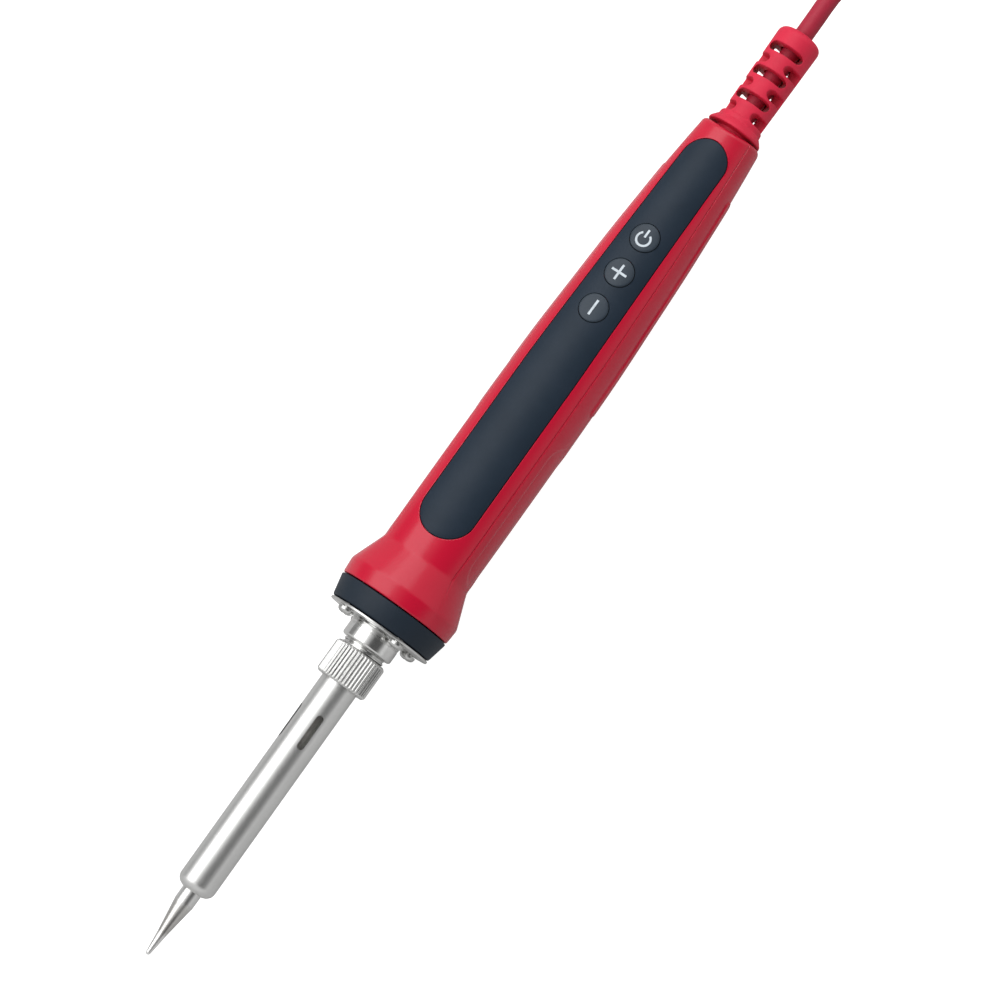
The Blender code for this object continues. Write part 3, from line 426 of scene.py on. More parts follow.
def revolve(name, profile, steps=96, middle=(0.0, 0.0), upright=False):
    """A turned piece from (distance along the axis, radius) points; a radius may depend on the turn."""
    rings = []
    for distance, radius in profile:
        ring = []
        for step in range(1 if radius == 0.0 else steps):
            turn = 2 * math.pi * step / steps
            reach = radius(turn) if callable(radius) else radius
            first, second = reach * math.sin(turn), reach * math.cos(turn)
            if upright:
                ring.append(at(middle[0] + second, middle[1] + first, distance))
            else:
                ring.append(at(distance, middle[0] + first, middle[1] + second))
        rings.append(ring)
    return loft(name, rings, looped=len(rings[0]) > 1)


def arc(centre, radius, start, end, steps):
    """Points on an arc, its angles in degrees from the first axis towards the second."""
    turns = [math.radians(start + (end - start) * step / steps) for step in range(steps + 1)]
    return [(centre[0] + radius * math.cos(turn), centre[1] + radius * math.sin(turn)) for turn in turns]


def prism(name, outline, low, high, spot):
    """A closed solid of one outline between two levels; spot(a, b, level) places a corner."""
    return loft(name, [[spot(a, b, level) for a, b in outline] for level in (low, high)], capped=True)


def upright_rod(name, x, radius, bottom, top, steps=48):
    """A round rod that stands across the iron's axis."""
    profile = [(bottom, 0.0), (bottom, radius), (top, radius), (top, 0.0)]
    return revolve(name, profile, steps, (x, 0.0), upright=True)


def rounded_box(half_width, half_height, corner, steps):
    """The outline of a rectangle about the origin with round corners."""
    outline = []
    for number, (side, up) in enumerate(((1, 1), (-1, 1), (-1, -1), (1, -1))):
        centre = (side * (half_width - corner), up * (half_height - corner))
        outline += arc(centre, corner, 90.0 * number, 90.0 * (number + 1), steps)
    return outline


def cross(long, thin):
    """The outline of a cross recess, from the reach and the half breadth of its arms."""
    half = [(long, thin), (thin, thin), (thin, long), (-thin, long), (-thin, thin), (-long, thin)]
    return half + [(-a, -b) for a, b in half]


def apply_steps(item):
    """Turn a piece's modifiers into its mesh."""
    bpy.context.view_layer.update()
    evaluated = item.evaluated_get(bpy.context.evaluated_depsgraph_get())
    mesh = bpy.data.meshes.new_from_object(evaluated)
    item.modifiers.clear()
    item.data = mesh


def combine(item, other, operation="DIFFERENCE"):
    step = item.modifiers.new("combine", "BOOLEAN")
    step.operation = operation
    step.object = other
    step.solver = "EXACT"
    apply_steps(item)
    bpy.data.objects.remove(other)


def merged(name, items):
    """One object from several that don't touch."""
    form = bmesh.new()
    for item in items:
        form.from_mesh(item.data)
        bpy.data.objects.remove(item)
    return as_object(name, form)


def clamp(value, low=0.0, high=1.0):
    return max(low, min(high, value))


def ease(value):
    value = clamp(value)
    return value * value * (3.0 - 2.0 * value)


def soft_least(first, second, blend):
    return (first + second - math.sqrt((first - second) ** 2 + 4 * blend**2)) / 2


def soft_most(first, second, blend):
    return (first + second + math.sqrt((first - second) ** 2 + 4 * blend**2)) / 2


def span(start, end, step):
    count = max(1, round((end - start) / step))
    return [start + (end - start) * piece / count for piece in range(count)]


# ---------------------------------------------------------------- handle

SHELL_START = along("handle_upper_shell")[0]
HANDLE_END = along("handle_upper_shell")[1]
FLANGE_TOP = 107.2
FLANGE_END = 116.1
FLANGE_RADIUS = 15.65  # at its top
FLANGE_LEAN = 0.25  # how much smaller it is at its front edge
FLANGE_DROP = 3.4
BODY = (  # (distance from the tip, radius) stations behind the flange
    (116.1, 12.25), (123.0, 12.38), (140.0, 12.42), (158.0, 12.4), (169.0, 12.3), (181.0, 12.1),
    (196.0, 11.5), (211.0, 10.85), (221.0, 10.25), (231.0, 9.6), (241.0, 8.75), (247.5, 8.15),
)
CORNER_ANGLE = 52.0  # the long edges, from straight up
CORNER_RATIO = 1.035
CORNER_BLEND = 0.035
RIB = (168.9, 232.5, 1.35, 1.35)  # start, end, half height, corner
RIB_HEIGHT = 0.4
RIB_EDGE = 0.45
GRIP = (117.5, 158.4, 5.3, 5.0)  # the shallow hollow for the fingers, in the same order
GRIP_DEPTH = 0.32
GRIP_EDGE = 0.8
CREASE_DEPTH = 0.22  # a fine line that runs along each long edge
CREASE_HALF_ANGLE = 1.5
WALL = 2.2
SEAM = 0.06
END_FILLET = 1.3
END_SETBACK = 1.2
SETBACK_START = 240.0
REAR_WALL = 244.5
REAR_HOLE = 5.0


def body_radius(x):
    """The handle's radius behind the flange, on a smooth curve through its stations."""
    if x <= BODY[0][0]:
        return BODY[0][1]
    for number in range(len(BODY) - 1):
        (x0, r0), (x1, r1) = BODY[number], BODY[number + 1]
        if x <= x1:
            before = BODY[max(0, number - 1)]
            after = BODY[min(len(BODY) - 1, number + 2)]
            slope0 = (r1 - before[1]) / (x1 - before[0])
            slope1 = (after[1] - r0) / (after[0] - x0)
            length = x1 - x0
            t = (x - x0) / length
            return (
                (2 * t**3 - 3 * t**2 + 1) * r0
                + (t**3 - 2 * t**2 + t) * length * slope0
                + (3 * t**2 - 2 * t**3) * r1
                + (t**3 - t**2) * length * slope1
            )
    return BODY[-1][1]


def handle_radius(x):
    rim = FLANGE_RADIUS - FLANGE_LEAN * (FLANGE_TOP - x) / (FLANGE_TOP - SHELL_START)
    cone = FLANGE_RADIUS - FLANGE_DROP * (x - FLANGE_TOP) / (FLANGE_END - FLANGE_TOP)
    return soft_most(soft_least(rim, cone, 0.07), body_radius(x), 0.08)


def section(x):
    """The handle's radius, the bows and shifts of its top and side arcs, and how creased its edges are."""
    radius = handle_radius(x)
    fade = clamp((x - SHELL_START) / (FLANGE_END - SHELL_START))
    corner = radius * (1.0 + (CORNER_RATIO - 1.0) * fade)
    arcs = []
    for half_span in (CORNER_ANGLE, 90.0 - CORNER_ANGLE):
        chord = corner * math.sin(math.radians(half_span))
        rise = radius - corner * math.cos(math.radians(half_span))
        bow = (chord**2 + rise**2) / (2 * rise)
        arcs.append((bow, radius - bow))
    return radius, arcs, fade**4


def section_radius(shape, turn):
    """The distance from the axis to the handle's surface, at an angle from straight up."""
    reaches = []
    for (bow, shift), cosine, sine in zip(
        shape[1],
        (abs(math.cos(math.radians(turn))), abs(math.sin(math.radians(turn)))),
        (math.sin(math.radians(turn)), math.cos(math.radians(turn))),
    ):
        reaches.append(shift * cosine + math.sqrt(bow**2 - (shift * sine) ** 2))
    from_top = min(abs(turn), 180.0 - abs(turn))
    crease = CREASE_DEPTH * ease(1.0 - abs(from_top - CORNER_ANGLE) / CREASE_HALF_ANGLE) * shape[2]
    return soft_least(*reaches, CORNER_BLEND) + CORNER_BLEND * 0.1 - crease


def rounded_distance(x, z, start, end, half, corner):
    """How far a place is outside a rounded rectangle on the handle's side."""
    out_x = abs(x - (start + end) / 2) - (end - start) / 2 + corner
    out_z = abs(z) - half + corner
    return math.hypot(max(out_x, 0.0), max(out_z, 0.0)) + min(max(out_x, out_z), 0.0) - corner


def side_relief(x, z):
    rib = RIB_HEIGHT * ease(0.5 - rounded_distance(x, z, *RIB) / RIB_EDGE)
    hollow = GRIP_DEPTH * ease(0.5 - rounded_distance(x, z, *GRIP) / GRIP_EDGE)
    return rib - hollow


def setback(turn, x):
    """The rear end leans forward at the top and the bottom of the handle."""
    return END_SETBACK * max(0.0, abs(math.cos(math.radians(turn)))) ** 1.5 * ease(
        (x - SETBACK_START) / (HANDLE_END - END_FILLET - SETBACK_START)
    )


def top_height(x, y):
    """How high the handle's top surface is above the axis."""
    bow, shift = section(x)[1][0]
    return shift + math.sqrt(bow**2 - y**2)


QUARTER = (
    [*span(0.0, 48.0, 3.0), *span(48.0, 50.5, 1.0), *span(50.5, 53.5, 0.25), *span(53.5, 60.0, 1.5)]
    + [*span(60.0, 90.0, 0.75), 90.0]
)


def make_shell(name, side):
    """One half of the handle: side is 1 for the upper half and -1 for the lower one."""
    turns = [-turn for turn in reversed(QUARTER)] + QUARTER[1:]
    rows = [
        *span(SHELL_START + 0.5, 118.0, 0.35), *span(118.0, 123.0, 0.5), *span(123.0, 152.0, 1.5),
        *span(152.0, 160.0, 0.45), *span(160.0, 167.5, 1.5), *span(167.5, 171.5, 0.35),
        *span(171.5, 229.5, 2.0), *span(229.5, 234.0, 0.35), *span(234.0, HANDLE_END - END_FILLET, 0.9),
    ]
    form = bmesh.new()

    def ring(x, inset, eased=0.0, relief=True, radius=None):
        shape = section(x)
        spots = []
        for turn in turns:
            cosine = math.cos(math.radians(turn))
            reach = radius or section_radius(shape, turn) - inset
            if relief:
                reach += side_relief(x, shape[0] * cosine)
            y = reach * math.sin(math.radians(turn))
            z = max(reach * cosine, SEAM)
            spots.append(form.verts.new(at(x + eased - setback(turn, x), y, side * z)))
        return spots

    outer = [ring(SHELL_START, 0.35), ring(SHELL_START + 0.1, 0.12), ring(SHELL_START + 0.3, 0.02)]
    outer += [ring(x, 0.0) for x in rows]
    fillet_start = HANDLE_END - END_FILLET
    for step in range(9):
        turn = math.radians(90.0 * step / 8)
        outer.append(ring(fillet_start, END_FILLET * (1 - math.cos(turn)), END_FILLET * math.sin(turn)))
    inner_rows = (SHELL_START, 107.0, 116.5, 130.0, 160.0, 190.0, 220.0, REAR_WALL - 0.1)
    inner = [ring(x, WALL, relief=False) for x in inner_rows]
    inner.append(ring(REAR_WALL, 0.0, relief=False, radius=REAR_HOLE))
    inner.append(ring(fillet_start, 0.0, END_FILLET, relief=False, radius=REAR_HOLE))
    for side_rings in (outer, inner):
        for low, high in zip(side_rings, side_rings[1:]):
            bridge(form, low, high, closed=False)
    for end in (0, -1):
        bridge(form, outer[end], inner[end], closed=False)
    for edge in (0, -1):
        form.faces.new([spots[edge] for spots in outer] + [spots[edge] for spots in reversed(inner)])
    return as_object(name, form)


# ---------------------------------------------------------------- panel and keys

PANEL_START, PANEL_END = along("control_panel")
PANEL_RADII = (7.2, 6.0)
PANEL_TAPER = 173.0
PANEL_THICKNESS = 0.9
PANEL_CLEARANCE = 0.13
BUTTONS = ("minus_button", "plus_button", "power_button")
BUTTON_RADIUS = 3.7
BUTTON_CLEARANCE = 0.17
BUTTON_PROUD = 0.28
KEY_FLANGE = (4.5, 0.8)  # radius and thickness of the lip that keeps a key in the handle
KEY_FLANGE_DEPTH = 3.7
STEM_RADIUS = 1.5
LEGEND_PROUD = 0.035
LEGEND_DEPTH = 0.12


def half_width(x):
    rear = PANEL_END - PANEL_RADII[1]
    share = clamp((x - PANEL_TAPER) / (rear - PANEL_TAPER))
    return PANEL_RADII[0] + (PANEL_RADII[1] - PANEL_RADII[0]) * share


def panel_outline(margin):
    front = PANEL_START + PANEL_RADII[0]
    rear = PANEL_END - PANEL_RADII[1]
    sides = span(front, rear, 2.5)[1:]
    outline = arc((front, 0.0), PANEL_RADII[0] + margin, 90.0, 270.0, 40)
    outline += [(x, -half_width(x) - margin) for x in sides]
    outline += arc((rear, 0.0), PANEL_RADII[1] + margin, -90.0, 90.0, 36)
    outline += [(x, half_width(x) + margin) for x in reversed(sides)]
    return outline


def panel_solid(name, layers):
    """A solid that follows the handle's top, from (margin, height over the surface, share) layers.

    A share of 1 is the outline itself, and 0 is the line along its middle.
    """
    front = PANEL_START + PANEL_RADII[0]
    rear = PANEL_END - PANEL_RADII[1]
    rings = []
    for margin, height, share in layers:
        ring = []
        for x, y in panel_outline(margin):
            spine = clamp(x, front, rear)
            place_x, place_y = spine + (x - spine) * share, y * share
            ring.append(at(place_x, place_y, top_height(place_x, place_y) + height))
        rings.append(ring)
    return loft(name, rings, weld=1e-7)


def button_holes(name, radius):
    rods = [upright_rod(f"{name}_{node}", middle_of(node).x, radius, 4.0, 14.0, 64) for node in BUTTONS]
    return merged(name, rods)


def make_panel():
    shares = (0.0, 0.3, 0.6, 0.85)
    layers = [(-0.3, 0.0, share) for share in shares]
    layers += [(-0.3, 0.0, 1.0), (-0.16, -0.04, 1.0), (-0.05, -0.13, 1.0), (0.0, -0.3, 1.0)]
    layers += [(0.0, -PANEL_THICKNESS, 1.0)]
    layers += [(0.0, -PANEL_THICKNESS, share) for share in reversed(shares)]
    panel = panel_solid("keypad_panel", layers)
    combine(panel, button_holes("panel_holes", BUTTON_RADIUS + BUTTON_CLEARANCE))
    settle(panel, SLATE, "handle", "slate_plastic", "control_panel", smooth=30.0)


def make_shells():
    upper = make_shell("upper_shell", 1)
    shares = (0.0, 0.4, 0.8)
    floor = -PANEL_THICKNESS - GAP
    edge = PANEL_CLEARANCE
    layers = [(edge, floor, share) for share in shares]
    layers += [(edge, floor, 1.0), (edge, -0.2, 1.0), (edge + 0.06, -0.06, 1.0), (edge + 0.25, 0.03, 1.0)]
    layers += [(edge + 0.25, 3.0, 1.0)]
    layers += [(edge, 3.0, share) for share in reversed(shares)]
    combine(upper, panel_solid("pocket", layers))
    combine(upper, button_holes("shell_holes", BUTTON_RADIUS + BUTTON_CLEARANCE))
    settle(upper, RED, "handle", "red_plastic", "handle_upper_shell", smooth=24.0)

    lower = make_shell("lower_shell", -1)
    bosses, heads, shanks = [], [], []
    for number, node in enumerate(("case_screw_1", "case_screw_2")):
        x = middle_of(node).x
        wall = handle_radius(x) - 1.0
        seat = (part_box(node)[0].z - AXIS.z) / MM + 1.7
        for group, radius, low, high in (
            (bosses, 3.0, -wall, -SEAM), (heads, 2.4, -20.0, seat), (shanks, 1.4, -9.0, 1.0),
        ):
            group.append(upright_rod(f"rod_{number}_{radius}", x, radius, low, high))
    combine(lower, merged("bosses", bosses), "UNION")
    combine(lower, merged("heads", heads))
    combine(lower, merged("shanks", shanks))
    settle(lower, RED, "handle", "red_plastic", "handle_lower_shell", smooth=24.0)


def make_button(node):
    x = middle_of(node).x
    stem_end = (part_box(node)[0].z - AXIS.z) / MM
    flange_top = handle_radius(x) - KEY_FLANGE_DEPTH
    flange_radius, flange_thickness = KEY_FLANGE
    flange_bottom = flange_top - flange_thickness
    steps = 72
    rings = []
    # (radius, height, 1 where the height follows the handle's top and 0 where it is flat)
    layers = [(0.0, -0.02, 1), (1.2, -0.02, 1), (2.3, 0.0, 1), (3.1, 0.0, 1), (3.4, 0.0, 1)]
    layers += [(3.54, -0.04, 1), (3.65, -0.12, 1), (BUTTON_RADIUS, -0.27, 1), (BUTTON_RADIUS, -1.4, 1)]
    layers += [(BUTTON_RADIUS, flange_top, 0), (flange_radius, flange_top, 0)]
    layers += [(flange_radius, flange_bottom, 0), (STEM_RADIUS, flange_bottom, 0)]
    layers += [(STEM_RADIUS, stem_end, 0), (0.0, stem_end, 0)]
    for radius, height, follows in layers:
        ring = []
        for step in range(steps if radius > 0.0 else 1):
            turn = 2 * math.pi * step / steps
            place_x, y = x + radius * math.cos(turn), radius * math.sin(turn)
            level = top_height(place_x, y) + BUTTON_PROUD + height if follows else height
            ring.append(at(place_x, y, level))
        rings.append(ring)
    settle(loft(f"{node}_key", rings), KEY, node, "button_plastic", node, smooth=40.0)


def pad(name, cells, key):
    """A thin raised mark on a key, from flat cells of (along, across) corners about the key's middle."""
    x = middle_of(key).x
    form = bmesh.new()
    for cell in cells:
        form.faces.new([form.verts.new((a, b, 0.0)) for a, b in cell])
    bmesh.ops.remove_doubles(form, verts=form.verts, dist=1e-5)
    bmesh.ops.recalc_face_normals(form, faces=form.faces)
    top = list(form.verts)
    extruded = bmesh.ops.extrude_face_region(form, geom=list(form.faces))
    bottom = [item for item in extruded["geom"] if isinstance(item, bmesh.types.BMVert)]
    for verts, height in ((top, 0.0), (bottom, -LEGEND_DEPTH)):
        for vert in verts:
            a, b = vert.co.x, vert.co.y
            vert.co = at(x + a, b, top_height(x + a, b) + BUTTON_PROUD + LEGEND_PROUD + height)
    settle(as_object(name, form), LEGEND, key, "legend_ink", smooth=50.0)


def grid_cells(lines, rows):
    """The cells between lines across the iron and rows along it."""
    cells = []
    for a0, a1 in zip(lines, lines[1:]):
        for b0, b1 in zip(rows, rows[1:]):
            cells.append([(a0, b0), (a1, b0), (a1, b1), (a0, b1)])
    return cells


def bar_cells(half_length, half_breadth):
    """The cells of a bar about the origin, along the iron."""
    return grid_cells([half_length * step / 4 for step in range(-4, 5)], (-half_breadth, 0.0, half_breadth))


def plus_cells(half_length, half_breadth):
    """The cells of a plus sign."""
    lines = [-half_length, -1.2, -half_breadth, 0.0, half_breadth, 1.2, half_length]

    def on_an_arm(cell):
        return any(max(abs(corner[way]) for corner in cell) <= half_breadth for way in (0, 1))

    return [cell for cell in grid_cells(lines, lines) if on_an_arm(cell)]


SIGN_SIZE = (2.13, 0.3)  # half the length and half the breadth of the minus and plus signs' bars
RING_OFFSET = -0.5  # where the power symbol's ring and the middle of its bar are on the key
BAR_OFFSET = 1.1


def power_cells(radius, breadth, gap_angle):
    """The cells of a ring that is open towards the lead, with a bar in its opening."""
    cells = []
    steps = 40
    start, end = gap_angle, 360.0 - gap_angle
    for step in range(steps):
        corners = []
        for reach, at_step in ((0.0, step), (breadth, step), (breadth, step + 1), (0.0, step + 1)):
            turn = math.radians(start + (end - start) * at_step / steps)
            across = (radius - reach) * math.sin(turn)
            corners.append(((radius - reach) * math.cos(turn) + RING_OFFSET, across))
        cells.append(corners)
    for cell in bar_cells(BAR_OFFSET, breadth / 2):
        cells.append([(a + BAR_OFFSET, b) for a, b in cell])
    return cells


def make_keys():
    for node in BUTTONS:
        make_button(node)
    pad("minus_legend", bar_cells(*SIGN_SIZE), "minus_button")
    pad("plus_legend", plus_cells(*SIGN_SIZE), "plus_button")
    pad("power_legend", power_cells(2.05, 0.55, 36.0), "power_button")


# ---------------------------------------------------------------- front end


def make_tip():
    end = along("soldering_tip")[1]
    profile = [(0.0, 0.0), (0.04, 0.22), (0.16, 0.42), (0.36, 0.56), (0.7, 0.64), (2.0, 0.79), (6.1, 1.24)]
    profile += [(6.3, 1.25), (14.7, 2.5), (15.1, 2.58), (15.5, 2.6), (19.5, 2.6), (19.5, 3.3)]
    profile += [(end, 3.3), (end, 2.25), (20.7, 2.25), (20.7, 0.0)]
    settle(revolve("plated_tip", profile, 96), PLATING, "tip", "tip_plating", "soldering_tip", smooth=40.0)


BARREL_RADIUS = 5.0
SLOT_START = 61.3
SLOT_LENGTH = 9.8
SLOT_HALF_WIDTH = 0.95
SLOT_TURN = -27.0


def make_barrel():
    start, end = along("barrel_sleeve")
    rounding = arc((start + 2.6, 2.4), 2.6, 90.0, 165.0, 16)
    profile = [(end, 5.75), (end - 1.0, 5.75), (end - 1.3, 5.35), (end - 1.9, BARREL_RADIUS), *rounding]
    profile += [(start, 3.0), (start + 0.08, 2.9), (start + 0.6, 2.9), (start + 0.6, 3.1)]
    profile += [(start + 2.8, 4.5), (end, 4.5)]
    barrel = revolve("slotted_sleeve", profile, 160)
    half = SLOT_LENGTH / 2 - SLOT_HALF_WIDTH
    middle = SLOT_START + SLOT_LENGTH / 2
    outline = arc((middle + half, 0.0), SLOT_HALF_WIDTH, -90.0, 90.0, 12)
    outline += arc((middle - half, 0.0), SLOT_HALF_WIDTH, 90.0, 270.0, 12)
    slots = []
    for number in range(4):
        turn = math.radians(SLOT_TURN + 90.0 * number)

        def spot(x, off, level, turn=turn):
            y = level * math.sin(turn) + off * math.cos(turn)
            z = level * math.cos(turn) - off * math.sin(turn)
            return at(x, y, z)

        slots.append(prism(f"slot_{number}", outline, 3.6, 6.5, spot))
    combine(barrel, merged("slots", slots))
    settle(barrel, SATIN, "barrel", "brushed_steel", "barrel_sleeve", smooth=30.0)


NUT_TEETH = 44
NUT_ROOT = 6.62
NUT_RADIUS = 7.0


def make_nut():
    start, end = along("retaining_nut")

    def knurl(share):
        def radius(turn):
            phase = (turn * NUT_TEETH / (2 * math.pi)) % 1.0
            crest = ease(min(phase, 1.0 - phase) / 0.32 - 0.25)
            return NUT_ROOT + (NUT_RADIUS - NUT_ROOT) * crest * share

        return radius

    profile = [(start, 5.3), (start, 6.3), (start + 0.12, 6.5), (start + 0.5, knurl(0.7))]
    profile += [(start + 0.75, knurl(1.0)), (end - 0.75, knurl(1.0)), (end - 0.5, knurl(0.7))]
    profile += [(end - 0.12, 6.5), (end, 6.3), (end, 6.1), (start + 1.8, 6.1), (start + 1.8, 5.3)]
    nut = revolve("knurled_nut", profile, NUT_TEETH * 8)
    settle(nut, KNURLED, "nut", "polished_steel", "retaining_nut", smooth=50.0)


COLLAR_START = 90.8
THREAD_PITCH = 1.0
THREAD_ROOT = 5.45
THREAD_HEIGHT = 0.35


def make_collar():
    neck_start, spigot_end = along("heater_collar")
    start, end = COLLAR_START, along("front_plate")[0] - GAP

    def thread(x):
        def radius(turn):
            phase = (x / THREAD_PITCH + turn / (2 * math.pi)) % 1.0
            return THREAD_ROOT + THREAD_HEIGHT * ease(1.0 - abs(2.0 * phase - 1.0) * 1.15 + 0.1)

        return radius

    profile = [(spigot_end, 5.2), (end, 5.2), (end, 6.75), (end - 0.1, 6.92), (end - 0.3, 7.0)]
    profile += [(end - 1.35, 7.0), (end - 1.45, 6.85), (end - 1.6, 6.85), (end - 1.7, 7.0)]
    profile += arc((start + 0.7, 6.3), 0.7, 90.0, 180.0, 8)
    profile += [(start, 5.5), (start - 0.05, THREAD_ROOT)]
    profile += [(x, thread(x)) for x in reversed(span(neck_start + 0.3, start - 0.15, 0.1))]
    profile += [(neck_start, 5.3), (neck_start, 4.0), (spigot_end, 4.0)]
    collar = revolve("turned_collar", profile, 128)
    settle(collar, POLISHED, "handle", "polished_steel", "heater_collar", smooth=30.0)


SCREWS = ("plate_screw_1", "plate_screw_2", "plate_screw_3", "plate_screw_4")
SCREW_HOLE = 1.45
PLATE_RADIUS = 14.25


def screw_holes(name, start, end):
    rods = []
    for number, node in enumerate(SCREWS):
        spot = middle_of(node)
        rod = [(start, 0.0), (start, SCREW_HOLE), (end, SCREW_HOLE), (end, 0.0)]
        rods.append(revolve(f"{name}_{number}", rod, 32, (spot.y, spot.z)))
    return merged(name, rods)


def make_front():
    start, end = along("front_plate")
    rim = PLATE_RADIUS
    profile = [(end, 5.5), (end, rim - 0.12), (end - 0.12, rim), (start + 0.15, rim)]
    profile += [(start + 0.04, rim - 0.06), (start, rim - 0.18), (start, 5.62), (start + 0.12, 5.5)]
    plate = revolve("steel_plate", profile, 160)
    combine(plate, screw_holes("plate_holes", start - 1.0, end + 1.0))
    settle(plate, PLATE_STEEL, "handle", "brushed_steel", "front_plate", smooth=30.0)

    start, end = along("front_cap")
    profile = [(end, 8.0), (end, 15.15), (end - 0.1, 15.34), (end - 0.35, 15.36)]
    profile += [(start + 0.6, 14.36), (start + 0.25, 14.24), (start + 0.06, 14.06)]
    profile += [(start, 13.8), (start, 8.0)]
    ring = revolve("slate_ring", profile, 160)
    combine(ring, screw_holes("ring_holes", start - 1.0, end + 1.0))
    settle(ring, CAP_SLATE, "handle", "slate_plastic", "front_cap", smooth=40.0)

    for number, node in enumerate(SCREWS):
        make_pan_screw(node, number)


def make_pan_screw(node, number):
    """A pan-head screw with a cross recess, its head towards the tip."""
    start, end = along(node)
    spot = middle_of(node)
    seat = start + 1.5
    profile = [(start, 0.0), (start, 0.6), (start + 0.06, 1.05), (start + 0.22, 1.5), (start + 0.5, 1.85)]
    profile += [(start + 0.85, 2.03), (start + 1.25, 2.1), (seat, 2.05), (seat, 1.15), (end - 0.8, 1.15)]
    profile += [(end, 0.7), (end, 0.0)]
    made = revolve(f"pan_head_{number + 1}", profile, 48, (spot.y, spot.z))
    turn = math.radians(20.0 + 37.0 * number)

    def place(a, b, level):
        taper = 1.0 if level < 0.5 else 0.6
        y = (a * math.cos(turn) - b * math.sin(turn)) * taper
        z = (a * math.sin(turn) + b * math.cos(turn)) * taper
        return at(start + level, spot.y + y, spot.z + z)

    combine(made, prism("recess", cross(1.3, 0.3), -0.3, 0.95, place))
    settle(made, SCREW_STEEL, "handle", "polished_steel", node, smooth=35.0)


def make_case_screws():
    for number, node in enumerate(("case_screw_1", "case_screw_2")):
        low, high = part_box(node)
        x = middle_of(node).x
        bottom, top = (low.z - AXIS.z) / MM, (high.z - AXIS.z) / MM
        profile = [(bottom, 0.0), (bottom, 1.5), (bottom + 0.15, 1.9), (bottom + 0.4, 2.1)]
        profile += [(bottom + 1.4, 2.1), (bottom + 1.4, 1.1), (top, 1.1), (top, 0.0)]
        made = revolve(f"case_fixing_{number + 1}", profile, 48, (x, 0.0), True)

        def place(a, b, level, x=x):
            return at(x + a, b, level)

        combine(made, prism("recess", cross(1.25, 0.3), bottom - 0.5, bottom + 0.8, place))
        settle(made, POLISHED, "handle", "polished_steel", node, smooth=35.0)


# ---------------------------------------------------------------- boot

BOOT_RADIUS = 5.95
BOOT_ROUNDING = 1.9
BOOT_BORE = 2.75
BOOT_NECK = 4.7  # where it passes through the handle's rear wall
BOOT_ROOT = 5.75  # the lip inside the handle that holds it
SIDE_SLOTS = (252.7, 259.95, 267.2)
FACE_SLOTS = (256.6, 263.85, 271.1)
SLOT_HALF = 1.3
BRIDGE_HALF_WIDTH = 2.3
BOOT_PATTERNS = (  # stations, the half with the side slots, how far those reach, how far the others do
    (SIDE_SLOTS, 1, 9.0, 2.7),
    (FACE_SLOTS, -1, 4.9, 4.7),
)


def make_boot():
    start, end = along("strain_relief_boot")
    rounding = arc((end - BOOT_ROUNDING, BOOT_RADIUS - BOOT_ROUNDING), BOOT_ROUNDING, 0.0, 90.0, 8)
    profile = [(end, BOOT_BORE), *rounding]
    ring = HANDLE_END + GAP
    profile += [(ring + 4.3, BOOT_RADIUS - 0.35), (ring + 3.9, BOOT_RADIUS - 0.4), (ring + 3.5, BOOT_RADIUS)]
    profile += [(ring + 2.3, BOOT_RADIUS + 0.1), (ring + 2.0, 6.4), (ring + 1.1, 7.1), (ring + 0.7, 7.4)]
    profile += [(ring + 0.2, 7.5), (ring, 7.3), (ring, BOOT_NECK), (REAR_WALL - GAP - 0.1, BOOT_NECK)]
    profile += [(REAR_WALL - GAP - 0.1, BOOT_ROOT), (start, BOOT_ROOT), (start, BOOT_BORE)]
    boot = revolve("slotted_boot", profile, 128)
    side_cuts, face_cuts = [], []
    for stations, up, side_reach, face_reach in BOOT_PATTERNS:
        bottom, top = sorted((up * 9.0, -up * 0.2))
        for x in stations:
            for side in (1, -1):
                inner = arc((x, side * (BRIDGE_HALF_WIDTH + SLOT_HALF)), SLOT_HALF, 0.0, -180.0 * side, 12)
                outline = [(x + SLOT_HALF, side * side_reach), *inner, (x - SLOT_HALF, side * side_reach)]
                side_cuts.append(prism(f"side_cut_{x}_{side}", outline, bottom, top, at))
            reach = face_reach - SLOT_HALF
            outline = arc((x, reach), SLOT_HALF, 0.0, 180.0, 12)
            outline += arc((x, -reach), SLOT_HALF, 180.0, 360.0, 12)
            face_cuts.append(prism(f"face_cut_{x}", outline, -top, -bottom, at))
    combine(boot, merged("boot_side_cuts", side_cuts))
    combine(boot, merged("boot_face_cuts", face_cuts))
    shaping = boot.modifiers.new("voxels", "REMESH")
    shaping.mode = "VOXEL"
    shaping.voxel_size = 0.17 * MM
    easing = boot.modifiers.new("easing", "SMOOTH")
    easing.factor = 0.5
    easing.iterations = 3
    apply_steps(boot)
    settle(boot, RUBBER, "handle", "red_rubber", "strain_relief_boot", smooth=180.0)


# ---------------------------------------------------------------- lead, hank and plug

